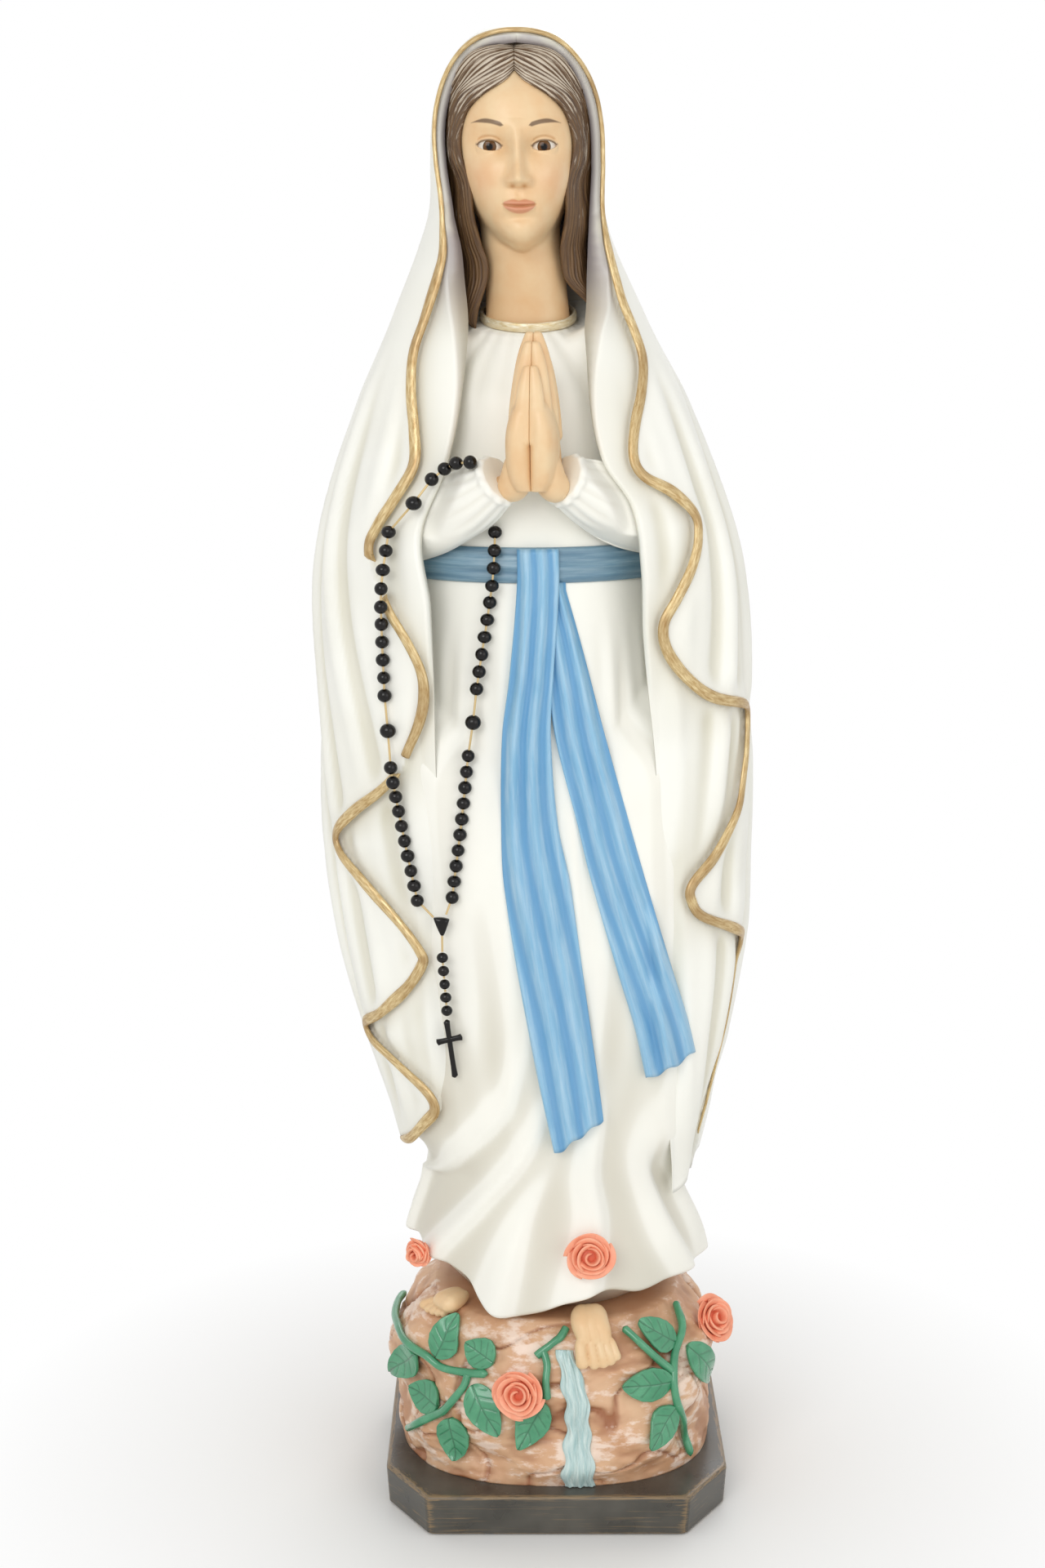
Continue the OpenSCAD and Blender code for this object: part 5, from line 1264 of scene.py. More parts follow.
handForm = {
    "place": [1.6, -61.0, 30.0], "turn": -8.0, "palmGap": -0.9,
    "rows": 40, "columns": 48, "voxel": 0.42, "smooth": 7,
    # each finger's line from knuckle to tip: half its breadth across, depth, height, half its depth
    "fingers": [[[3.9, -8.8, 18, 2.7], [3.5, -8.5, 30, 2.6], [2.8, -7.7, 41, 2.4], [1.7, -6.7, 49, 1.8]],
                [[4.9, -3.3, 20, 2.8], [4.3, -3.1, 35, 2.7], [3.3, -2.7, 48.5, 2.5], [1.8, -2.3, 58, 1.9]],
                [[5.7, 2.3, 20, 2.9], [5.0, 2.3, 36, 2.8], [3.7, 2.2, 51, 2.6], [1.9, 2.0, 61.5, 1.9]],
                [[5.9, 7.8, 18, 2.9], [5.2, 7.6, 33, 2.8], [3.9, 7.0, 47.5, 2.6], [2.0, 6.2, 57.5, 1.9]]],
    "thumb": [[5.6, 10.5, 6, 4.0], [5.0, 13.0, 17, 3.5], [4.0, 13.6, 29, 3.0], [2.4, 13.0, 38, 2.3]],
    "palmThick": [[0, 3.6], [0.12, 4.8], [0.35, 5.5], [0.6, 5.5], [0.82, 4.6], [1, 2.9]],
    "palmWide": [[0, 6.5], [0.12, 9.0], [0.35, 11.2], [0.6, 11.9], [0.82, 10.8], [1, 8.0]],
    # the wrist from the palm out and back into the cuff
    "wrist": [[4.9, -0.5, 17], [5.6, 0.2, 9], [7.6, 2.4, 3], [12, 7, 0]], "wristR": [5.2, 6.2, 6.3, 5.6],
}


def placeHand(p, side):  # from the hand's own frame to the figure's
    x, y = swung(p[..., 0] * side, p[..., 1], np.radians(handForm["turn"]))
    return waist + np.array(handForm["place"]) + stacked(x, y, p[..., 2])


def buildHand(side):  # flattened fingers and thumb over a palm and a wrist
    gap = handForm["palmGap"]
    made = []
    for line in handForm["fingers"] + [handForm["thumb"]]:
        line = np.array(line)
        points = line[:, :3] + np.array([gap, 0, 0])
        made.append(limb(points, line[:, 3], broad=line[:, 0]))
    v = np.linspace(0, 1, handForm["rows"])[:, None]
    t = ringAngles(handForm["columns"])
    thick, wide = valuesAt(handForm, v, "palmThick", "palmWide")
    across = thick + gap + thick * power(cosd(t), 0.8)
    made.append(tubePart(stacked(across, wide * power(sind(t), 0.9) - 0.4, mix(1, 37, v))))
    made.append(limb(np.array(handForm["wrist"], float), handForm["wristR"]))
    return [(placeHand(points, side), faces, fields) for points, faces, fields in made]


def cutAtPalm(piece, side):  # presses the fused skin flat where the palms meet
    p = pointsOf(piece.data)
    turn = np.radians(handForm["turn"])
    q = p - waist - np.array(handForm["place"])
    x = swung(q[:, 0], q[:, 1], -turn)[0] * side
    push = np.maximum(0.05 - x, 0) * side
    p[:, 0] += push * np.cos(turn)
    p[:, 1] += push * np.sin(turn)
    piece.data.vertices.foreach_set("co", (p * mm).astype(np.float32).ravel())
    piece.data.update()


for side, node in ((-1, "hand_left"), (1, "hand_right")):
    parts, melt = buildHand(side), (handForm["voxel"], handForm["smooth"])
    hand = fusedPiece(node, parts, *melt, "skin")
    cutAtPalm(hand, side)
    skinField(hand)

headForm = {
    "y": -3.0, "faceRound": 2.25, "join": 0.75,
    # the finer front and the columns there and behind, then rows between levels
    "frontAngle": 52, "frontColumns": 250, "backColumns": 90,
    "neckLow": -0.4, "spans": [[-0.4, -0.07, 34], [-0.07, 0.66, 230], [0.66, 1, 40]],
    # the face and the skull behind it, by level
    "half": [[-0.06, 1], [-0.02, 5], [0.01, 8.4], [0.05, 11.4], [0.12, 15.4], [0.2, 18.9], [0.3, 22],
             [0.42, 24.3], [0.55, 25], [0.75, 22.6], [0.88, 16.6], [0.96, 9.5], [1, 1.5]],
    "front": [[-0.06, 6], [-0.03, 20], [0, 27.5], [0.03, 30.4], [0.1, 32], [0.22, 32.8], [0.42, 32.4],
              [0.55, 33.4], [0.75, 30.4], [0.88, 21.5], [0.96, 12.5], [1, 2]],
    "back": [[-0.06, 4], [0.02, 14], [0.1, 24], [0.2, 28], [0.4, 31], [0.55, 32], [0.75, 30], [0.88, 24],
             [0.96, 14], [1, 2]],
    "neckHalf": [[-0.4, 17], [-0.28, 16.4], [-0.1, 16], [0.1, 15.6], [0.3, 14]],
    "neckFront": [[-0.4, 10.5], [-0.28, 11.5], [-0.1, 14], [0.1, 16], [0.3, 14]],
    "neckBack": [[-0.4, 18], [-0.1, 21], [0.1, 23], [0.3, 22]],
    # eyes and mouth: distance from the middle, height over the chin, depth, radius and half-widths
    "eyeX": 10.5, "eyeV": 36.75, "eyeDepth": 22.8, "eyeR": 5.5, "eyeWide": 4.6, "lidJoin": 3.6,
    "mouthV": 14.2, "mouthWide": 6.4, "eyeRows": 60, "eyeColumns": 48,
    # soft forms: strength, distance from the middle, height over the chin, each with its spread
    "swells": [[-3.1, 10.5, 7.4, 37, 5.4], [-3.0, 5.9, 2.5, 36.6, 3.4], [1.0, 10, 7, 44.5, 2.8],
               [2.5, 4.1, 1.7, 23.6, 1.8], [-1.5, 2.2, 0.9, 21.7, 0.7], [1.2, 0, 9, 15, 7],
               [1.2, 13.5, 6, 27, 8], [1.5, 0, 6.5, 4.6, 3.6], [-1.1, 0, 7, 9.7, 1.7],
               [-0.5, 0, 1.1, 18.8, 1.5]],
    "nose": [[20.8, 0], [21.8, 4.4], [23.4, 7.4], [25.4, 7.6], [28, 6.2], [33, 4.0], [38, 2.5],
             [42, 1.5], [47, 0]],
    "noseWide": [[20, 3.4], [25, 3.2], [30, 2.7], [38, 2.3], [47, 3]],
}


def roundOf(a, half, depth, bulge):  # distance to a superellipse in the direction of an angle
    return (np.abs(sind(a) / half) ** bulge + np.abs(cosd(a) / depth) ** bulge) ** (-1 / bulge)


def headBase(a, t, off):  # a face over a neck: the larger of two rounds, blended where they meet
    ahead = cosd(a) > 0
    half, front, back = valuesAt(headForm, t, "half", "front", "back")
    face = roundOf(a, half, np.where(ahead, front, back), headForm["faceRound"])
    half, front, back = valuesAt(headForm, t, "neckHalf", "neckFront", "neckBack")
    stem = roundOf(a, half, np.where(ahead, front, back), 2.0)
    stem = np.where(t > 0.3, 1.0, mix(stem, 1.0, ease((t - 0.15) / 0.15)))
    k = headForm["join"]
    r = np.logaddexp(k * face, k * stem) / k + off
    return r * sind(a), r * cosd(a)


def lidEdges(u):  # upper and lower edge of the eye's opening, an almond
    arch = np.maximum(1 - u * u, 0)
    return 36.95 + 1.75 * arch ** 0.7 + 0.25 * u, 36.35 - 1.3 * arch ** 0.8 + 0.3 * u


def mouthAt(u):  # taper of the lips and height of their line, at a share of the mouth's half-width
    return np.sqrt(np.maximum(0, 1 - u * u)), headForm["mouthV"] + 0.6 * u * u


# Soft swells and hollows at the proportions of a drawing book, with lids that close over the eyes.
# Gives the depth, the height over the upper lid and the place along it.
def faceRelief(x, v, f):
    s = np.abs(x)
    for strength, aside, wide, level, high in headForm["swells"]:
        f = f + strength * bell(s - aside, wide) * bell(v - level, high)
    nose = throughKnots(headForm["nose"], v) * ((v > 20.8) & (v < 47))
    f = f + nose * np.exp(-(s / throughKnots(headForm["noseWide"], v)) ** 2.4)
    u = x / headForm["mouthWide"]
    taper, line = mouthAt(clampTo(u, -1, 1))
    f = f + 1.5 * taper * bell(v - line - 1.2 * taper, 1.0)
    f = f + 1.9 * taper * bell(v - line + 1.4 * taper, 1.3)
    f = f - 1.2 * bell(v - line, 0.42) * ease((1.06 - np.abs(u)) / 0.1)
    out = np.hypot(s - headForm["eyeX"], v - headForm["eyeV"])
    ball = headForm["eyeDepth"] + np.sqrt(np.maximum((headForm["eyeR"] + 0.75) ** 2 - out ** 2, 0))
    lid = ball - 20 * ease((out - 5.4) / 0.8)
    k = headForm["lidJoin"]
    f = np.where(out < 7, np.logaddexp(k * f, k * lid) / k, f)
    w = (s - headForm["eyeX"] - 0.1) / headForm["eyeWide"]
    upper, lower = lidEdges(clampTo(w, -1, 1))
    inside = np.where(np.abs(w) < 1, np.minimum(upper - v, v - lower), -1.0)
    f = f - 0.45 * bell(v - upper - 1.7, 0.45) * ease((1.15 - np.abs(w)) / 0.3)
    hole = headForm["eyeDepth"] + np.sqrt(np.maximum(headForm["eyeR"] ** 2 - out ** 2, 0)) - 1.0
    return mix(f, np.minimum(f, hole), ease((inside + 0.12) / 0.3)), upper - v, w


def facePaint(x, v, ahead, above, w):  # each colour laid over the flesh by its own mask
    s = np.abs(x)
    u = x / headForm["mouthWide"]
    taper, line = mouthAt(u)
    bow = 2.3 * taper - 0.4 * bell(x, 1.3) + 0.25 * bell(s - 2.2, 1.4)
    lips = ease((np.minimum(line + bow - v, v - line + 2.9 * taper ** 1.3) + 0.3) / 0.6)
    lips = lips * ease((1 - np.abs(u)) / 0.08)
    browLine = 44.2 + 1.9 * np.sin(clampTo((s - 4.8) / 13.2, 0, 1) * 2.55)
    browHalf = 0.85 * ease((s - 4.6) / 1.6) * ease((18.4 - s) / 7)
    brow = ease((browHalf - np.abs(v - browLine)) / 0.5 + 0.5) * (browHalf > 0.05)
    # blush, lips, brows and lashes are paint; the deep colour in the mouth's line, the nostrils and the
    # lids' fold is painted shade
    layers = [("blush", 0.55 * bell(s - 13, 6) * bell(v - 25, 7)), ("lip", 0.75 * lips),
              ("deep", 0.7 * bell(v - line, 0.4) * ease((1.02 - np.abs(u)) / 0.1)),
              ("deep", 0.8 * bell(s - 2.2, 1.0) * bell(v - 21.6, 0.7)), ("brow", 0.85 * brow),
              ("lash", 0.9 * bell(above + 0.25, 0.42) * ease((1.22 - np.abs(w)) / 0.2)),
              ("deep", 0.6 * bell(above + 1.7, 0.4) * ease((1.1 - np.abs(w)) / 0.3))]
    paint = np.broadcast_to(np.array(skinForm["light"]), x.shape + (4,))
    paint = colourMix(paint, skinForm["deep"], 0.22 * ease(-v / headHigh / 0.08) + 0 * x)  # painted shade on the neck under the chin
    for name, amount in layers:
        paint = colourMix(paint, skinForm[name], ahead * amount)
    return paint


def buildHead():  # face and neck as one tube, finest in front, its foot tilted with the neckline
    side = headForm["frontAngle"]
    front = np.linspace(-side, side, headForm["frontColumns"])
    a = np.concatenate([front, np.linspace(side, 360 - side, headForm["backColumns"])[1:-1]])[None]
    t = np.unique(np.concatenate([np.linspace(*span) for span in headForm["spans"]]))[:, None]
    x, f = headBase(a, t, 0.0)
    v = t * headHigh + 0 * a
    ahead = ease((cosd(a) - 0.35) / 0.3) * ease((t + 0.02) / 0.05)
    relief, above, w = faceRelief(x, v, f)
    p = stacked(headX(t) + x, headForm["y"] - mix(f, relief, ahead), figureZ + chinH + v)
    foot = ease((headForm["neckLow"] + 0.06 - t) / 0.06) + 0 * x
    p = mix(p, tilted(p, neckH + 0 * x), foot[..., None])
    return tubePart(p, paint=facePaint(x, v, ahead, above, w))


def buildEye(side):  # a ball whose poles lie along the line of sight, ringed by the angle from it
    lat = np.linspace(0, 180, headForm["eyeRows"])[:, None]
    lon = ringAngles(headForm["eyeColumns"])
    r, level = headForm["eyeR"], headForm["eyeV"]
    y, z = swung(-r * cosd(lat), r * sind(lat) * cosd(lon), np.radians(3.0))  # looks a little down
    x = headX(level / headHigh) + side * headForm["eyeX"]
    middle = np.array([x, headForm["y"] - headForm["eyeDepth"], figureZ + chinH + level])
    return tubePart(middle + stacked(r * sind(lat) * sind(lon), y, z), ring=lat / 90)


addPiece("head", [buildHead()], "skin")
addPiece("eye_left", [buildEye(-1)], "eye")
addPiece("eye_right", [buildEye(1)], "eye")

hairForm = {
    # edge beside the face and edge under the hood, as angle and level, from the parting down
    "face": [[0.1, 0.872], [8, 0.815], [24, 0.745], [39, 0.655], [47, 0.53], [47.5, 0.38], [44.5, 0.2],
             [45.5, 0.05], [53, -0.12], [59, -0.26], [72, -0.37]],
    "back": [[0.1, 0.965], [50, 0.94], [86, 0.84], [104, 0.7], [108, 0.53], [108, 0.38], [108, 0.2],
             [108, 0.05], [106, -0.12], [98, -0.26], [80, -0.365]],
    # below the cheek the lock closes in on the neck: half-width and front of its round
    "half": [[-0.45, 20.5], [-0.25, 19], [-0.1, 18.6], [0.05, 19.4], [0.2, 21.4], [0.34, 23.2]],
    "front": [[-0.45, 17], [-0.25, 18], [-0.1, 20], [0.05, 25], [0.2, 30.5], [0.34, 32.6]],
    "thick": [[-0.36, 2.8], [-0.1, 2.6], [0.5, 1.9], [0.75, 1.6], [0.97, 1.0]],
    "rows": 190, "columns": 90, "strands": 15, "depth": 0.5,
    "reach": {-1: 1.2, 1: 0.92}, "curl": {-1: 1.5, 1: 6.0},
}


# A lock that follows the head, closes in on the neck and ends in a curl, grooved into strands.
# Under the hood it fills the space out to the cloth.
def buildHair(side):
    s = np.linspace(0, 1, hairForm["rows"])[:, None]
    c = np.linspace(0, 1, hairForm["columns"])[None]
    face, back = (smoothRoute(hairForm[edge], hairForm["rows"])[:, None] for edge in ("face", "back"))
    lines = mix(face, back, c[..., None])
    a, t = lines[..., 0] * side, lines[..., 1]
    t = np.where(t < 0, t * hairForm["reach"][side], t)
    sway = hairForm["strands"] * c + 0.5 * np.sin(9 * s + 5 * c) + 0.25 * np.sin(23 * s - 9 * c + 2)
    groove = 0.5 + 0.5 * np.cos(2 * np.pi * sway)
    hooded = ease((t - 0.02) / 0.2) * ease((c - 0.5) / 0.3)
    body = mix(np.sqrt(np.maximum(0, 1 - np.abs(2 * c - 1) ** 5)), 1.0, hooded)
    body = body * ease(s / 0.05 + 0.25) * ease((1 - s) / 0.07 + 0.1)
    thick = throughKnots(hairForm["thick"], t) + 3.4 * ease(c * 1.4) * ease((0.3 - t) / 0.25) + 3.4 * hooded
    hang = ease((0.4 - t) / 0.12)
    curl = hairForm["curl"][side] * ease((-0.16 - t) / 0.2)
    wave = 0.9 * sind(800 * t) * (1 - c) * ease((0.5 - t) / 0.15) + curl
    z = figureZ + chinH + t * headHigh + 4.5 * ease(c / 0.5) * ease((t - 0.78) / 0.15)

    def lock(off):  # the head's round above, the lock's own below the cheek
        x, f = headBase(a, np.maximum(t, 0.28), off)
        r = roundOf(a, *valuesAt(hairForm, t, "half", "front"), 2.0) + off
        x, f = mix(x, r * sind(a), hang), mix(f, r * cosd(a), hang)
        return stacked(headX(t) + x + wave * side, headForm["y"] - f, z)

    outer = lock(1.0 + body * (thick + hairForm["depth"] * (groove - 0.6)))
    # painted highlight: pale near the parting and along the strands' ridges
    light = clampTo(0.95 * bell(s - 0.1, 0.2) + 0.35 * bell(s - 0.45, 0.14), 0, 1) * (0.35 + 0.65 * groove)
    return slabPart(outer, lock(0.4), light=light, uvMap=stacked(sway * 2.2, s * 150))


addPiece("hair_left", [buildHair(-1)], "hair")
addPiece("hair_right", [buildHair(1)], "hair")

rockForm = {
    "width": 138.0, "depth": 130.0, "high": 68.0, "lump": 2.2, "rough": 1.5, "columns": 330, "rows": 120,
    "profile": [[0, 67], [20.4, 68.5], [44.2, 67.5], [60, 62], [68, 52]],
}


def rockAt(a, h):  # a rounded square drum with lumps
    w = throughKnots(rockForm["profile"], h)
    e = ease(h / 12) * ease((rockForm["high"] - h) / 14)
    lump = sind(3 * a + 50 * sind(5 * h)) + 0.8 * cosd(5 * a - 7 * h) + 0.5 * sind(9 * a + 11 * h)
    lump = rockForm["lump"] * e * lump
    x = (w + lump) * power(sind(a), 0.8)
    y = -(w * rockForm["depth"] / rockForm["width"] + lump) * power(cosd(a), 0.8)
    return stacked(x, y, rockFoot + h)


def rockOut(a, h):  # direction square to the rock
    return squareTo(rockAt, a, h, 2, 1.5)


def onRock(a, h, off):  # a place at a distance from the rock
    return rockAt(a, h) + rockOut(a, h) * np.asarray(off)[..., None]


def buildRock():  # the drum roughened by swirls and cracks of noise, closed on top
    a = np.linspace(-180, 180, rockForm["columns"], endpoint=False)[None]
    h = np.linspace(0, rockForm["high"], rockForm["rows"])[:, None]
    base = rockAt(a, h)
    drawn = base * np.array([1, 1, 1.8])
    swirl = layeredNoise(drawn + 9 * valueNoise(base, 24, 31)[..., None], 15, 20, 4)
    crack = np.abs(layeredNoise(drawn + 6 * valueNoise(base, 15, 33)[..., None], 30, 40, 2))
    rough = rockForm["rough"] * (0.7 * swirl - 1.2 * bell(crack, 0.05))
    edge = ease(h / 3) * ease((rockForm["high"] - h) / 6)
    skin = base + rockOut(a, h) * (rough * (0.2 + 0.8 * edge))[..., None]
    top = [skin[-1:] * np.array([f, f, 0]) + np.array([0, 0, figureZ - 0.3]) for f in (0.9, 0.5, 0.05)]
    # painted shade in the cracks and low swirls; pale on the raised swirls and in random patches, brushed
    # paint that is also a painted highlight
    shade = clampTo(0.9 * bell(crack, 0.07) + 0.6 * ease(-swirl * 1.3), 0, 1)
    light = clampTo(0.36 + 0.5 * swirl + 0.25 * valueNoise(base, 26, 50), 0, 1)
    flat = np.zeros((len(top), rockForm["columns"]))
    shade, light = np.concatenate([shade, flat + 0.4]), np.concatenate([light, flat])
    return tubePart(np.concatenate([skin] + top), shade=shade, light=light)


addPiece("rock_mound", [buildRock()], "rock")

streamForm = {"path": [[5, 0.5], [4.5, 14], [4.5, 26], [4, 40], [2.6, 51], [1.6, 59]],
              "half": [[0, 4.2], [14, 3.6], [30, 3], [45, 2.8], [60, 1.6]], "rows": 120, "columns": 30}


def buildStream():  # a ribbon down the rock with running ridges
    line = smoothRoute(streamForm["path"], streamForm["rows"])[:, None]
    u = np.linspace(-1, 1, streamForm["columns"])[None]
    half = throughKnots(streamForm["half"], line[..., 1])
    run = line[..., 1]
    a = line[..., 0] + u * half * (1 + 0.12 * np.sin(run * 0.5 + 2 * u))
    ripple = 0.4 * np.cos(9 * u + 1.2 * np.sin(run * 0.22)) + 0.25 * np.cos(17 * u - 0.3 * run)
    top = onRock(a, run + 0 * u, 1.9 + (ripple - 0.3) * (1 - u ** 4) - 0.9 * u ** 4)
    low = onRock(a, run + 0 * u, 0 * a - 0.6)
    return slabPart(top, low, uvMap=stacked(u * half * 1.2, run + 0 * u))


addPiece("stream", [buildStream()], "water")

vineForm = {
    "radius": 1.7, "rings": 70,
    "left": [[[-100, 52], [-84, 52], [-67, 53.5], [-52, 51.5], [-42, 47], [-30, 46.5], [-20.5, 48.5]],
             [[-29.8, 46.4], [-31, 40], [-38, 30], [-50, 21], [-66, 10]]],
    "centre": [[[2, 65.5], [0, 62], [-3, 58.5], [-5, 56]],
               [[-3, 58.5], [-2, 53.5], [-2.2, 48], [-1.8, 41]]],
    "right": [[[62, 66], [55.5, 62.5], [46.5, 55.6], [39, 46.4], [38.5, 36], [44.5, 24], [50, 13],
               [51.5, 4]],
              [[23, 64.5], [28, 58.6], [33, 53], [38.8, 46.6]]],
}


def buildStem(points):  # a knobbly tube laid on the rock
    rings = vineForm["rings"]
    line = smoothRoute(points, rings)
    path = onRock(line[:, 0], line[:, 1], np.full(rings, vineForm["radius"] + 0.4))
    s = np.linspace(0, 1, rings)
    ends = np.sqrt(clampTo(np.minimum(s, 1 - s) / 0.03, 0.02, 1))
    r = vineForm["radius"] * (1 + 0.12 * valueNoise(path, 7, 61)) * ends
    shade = 0.3 * ease(-valueNoise(path, 6, 62))[:, None]
    return tubePart(ringsAlong(path, r, r, (0.0, 0.3, 1.0), 14), shade=shade)


for name in ("left", "centre", "right"):
    addPiece("vine_" + name, [buildStem(points) for points in vineForm[name]], "stem")

leafForm = {
    # breadth and thickness, then stalk and tip of each leaf as angle and level on the rock
    "wide": 13.4, "thick": 1.7, "rows": 56, "columns": 41,
    "left": [[[-45.5, 51.8], [-42, 65]], [[-58, 48.2], [-74, 35]], [[-20, 53.4], [-32, 59.2]],
             [[-45, 29.5], [-61, 32]], [[-35.5, 25.5], [-34.5, 8]], [[-26, 41], [-16, 25]],
             [[-3, 37.4], [-9, 19]]],
    "right": [[[44.5, 57.2], [31, 64.5]], [[36, 43.5], [19, 44.5]], [[52.5, 52], [66, 34]],
              [[37.5, 32], [26, 19]]],
}


def buildLeaf(stalk, tip):  # a pointed blade over the rock with a groove down the middle and slanting veins
    stalk, tip = np.array(stalk, float), np.array(tip, float)
    v, u = sheetGrid(leafForm["rows"], leafForm["columns"])
    reach = v * 1.12 - 0.09
    a, h = mix(stalk[0], tip[0], reach), mix(stalk[1], tip[1], reach)
    way = unit(rockAt(tip[0], tip[1]) - rockAt(stalk[0], stalk[1]))
    side = unit(np.cross(way, rockOut((stalk[0] + tip[0]) / 2, (stalk[1] + tip[1]) / 2)))
    half = leafForm["wide"] / 2 * sind(180 * v ** 0.78) ** 0.75 * (1 + 0.015 * cosd(360 * 5 * v)) + 0.45
    out = rockOut(a, h)
    across = u * half
    slanted = (v - 0.24 * np.abs(u)) * 4.6
    pairs = bell((slanted + 0.5) % 1 - 0.5, 0.075) * ease(np.abs(u) / 0.12) * ease((0.92 - np.abs(u)) / 0.2)
    vein = bell(across, 0.3) + 0.8 * pairs * ease((v - 0.1) / 0.1) * ease((0.95 - v) / 0.1)
    lift = 0.9 + 0.9 * u * u + 1.8 * v * v + 0.3 * np.sin(6 * v + 2 * u)
    dome = leafForm["thick"] * (1 - 0.6 * u * u)
    p = rockAt(a, h) + side * across[..., None]
    top = p + out * (lift + dome - 0.35 * vein)[..., None]
    low = p + out * (lift - 0.8)[..., None]
    # painted shade in the grooves of the middle and the veins
    return slabPart(top, low, shade=clampTo(vein, 0, 1) * 0.9)


for side in ("left", "right"):
    addPiece("leaves_" + side, [buildLeaf(*ends) for ends in leafForm[side]], "leaf")

roseForm = {"wide": 19.0, "high": 7.0, "thick": 1.6, "rows": 22, "columns": 44, "heart": (16, 28)}


def placeRose(p, foot, way):  # stands a rose made along z on its foot, opening along a direction
    w = unit(np.array(way, float))
    x, z = swung(p[..., 0], p[..., 2], -np.arccos(w[2]))
    x, y = swung(x, p[..., 1], np.arctan2(w[1], w[0]))
    return np.asarray(foot) + stacked(x, y, z)


def buildRose(foot, way, wide, high, spin):  # a rolled heart and three rounds of petals, lips turned out
    parts = []
    # middle and span in degrees, radius at foot and lip, height and curl
    petals = [(0.0, 400, 0.07, 0.12, 1.02, 0.0)]
    petals += [(spin + 120 * k, 165, 0.15, 0.27, 0.97, 0.25) for k in range(3)]
    petals += [(spin + 40 + 90 * k, 140, 0.22, 0.39, 0.86, 0.45) for k in range(4)]
    petals += [(spin + 10 + 72 * k, 110, 0.28, 0.49, 0.66, 0.7) for k in range(5)]
    v, u = sheetGrid(roseForm["rows"], roseForm["columns"])
    w = roseForm["thick"] / 2 * (0.7 + 0.3 * v) * np.sqrt(np.maximum(1 - v ** 8, 0.04)) * (1 - 0.6 * u ** 6)
    for middle, span, root, lip, top, curl in petals:
        a = middle + u * span / 2
        odd = np.sin(0.9 * middle + 11 * lip)  # no petal is quite like the next
        opened = mix(root, lip, v ** 0.8) + 0.05 * curl * ease((v - 0.75) / 0.25)
        r = wide * opened + 0.35 * np.sin(3 * u + middle) * v
        r = r * (1 + (0.5 * (u + 1) * 0.55 if span > 300 else 0.06 * odd)) + (0.35 + 0.5 * curl) * u
        risen = top * v * (1 - (0.22 + 0.2 * curl) * u ** 4 + 0.09 * odd)
        z = high * (risen - 0.16 * curl * ease((v - 0.7) / 0.3)) + 0.3 * np.sin(4 * u + middle) * v
        sheet = [stacked((r + o) * cosd(a), (r + o) * sind(a), z) for o in (w, -w)]
        # painted shade towards each petal's foot, more on the rolled heart
        parts.append(slabPart(*sheet, shade=clampTo((1 - v) * 0.9 + 0.2 * (span > 300), 0, 1)))
    lat, lon = ballGrid(*roseForm["heart"])
    r = 0.3 * wide * cosd(lat)
    cup = stacked(r * cosd(lon), r * sind(lon), 0.32 * high + 0.34 * high * sind(lat))
    # the heart's cup all in painted shade
    parts.append(tubePart(cup, shade=1.0))
    return [(placeRose(points, foot, way), faces, fields) for points, faces, fields in parts]


# Foot, direction, share of the usual breadth, and turn
rosePlaces = {
    "front": (onRock(-9.0, 43.0, 0.9), rockOut(-9.0, 43.0) + np.array([0, 0, 0.2]), 1.0, 20),
    "right": (onRock(73.0, 55.5, 2.4), rockOut(73.0, 55.5) + np.array([0, -0.8, 0]), 0.95, 75),
    "hem": (gownAt(np.array(13.0), np.array(30.0), 0.8), np.array([0.05, -1, 0.3]), 0.95, 130),
    "left": (gownAt(np.array(-58.0), np.array(23.0), 1.6), np.array([-0.5, -0.8, -0.1]), 0.6, 10),
}
for name, (foot, way, scale, spin) in rosePlaces.items():
    rose = buildRose(foot, way, roseForm["wide"] * scale, roseForm["high"], spin)
    addPiece("rose_" + name, rose, "rose")

footForm = {
    # ankle under the hem, its height, heel and toes as angle and level on the rock, and breadth
    "front": ([13, -44.5], 5.5, [9.5, 68], [11.5, 54], 19.0),
    "side": ([-39, -26.5], 4.0, [-51, 68], [-60, 63], 15.0),
    "voxel": 0.4, "smooth": 6,
    # toes: place across, reach and radius
    "toes": [[-0.74, 1.02, 2.7], [-0.27, 1.03, 2.1], [0.13, 0.99, 2.0], [0.48, 0.94, 1.9],
             [0.80, 0.86, 1.8]],
}


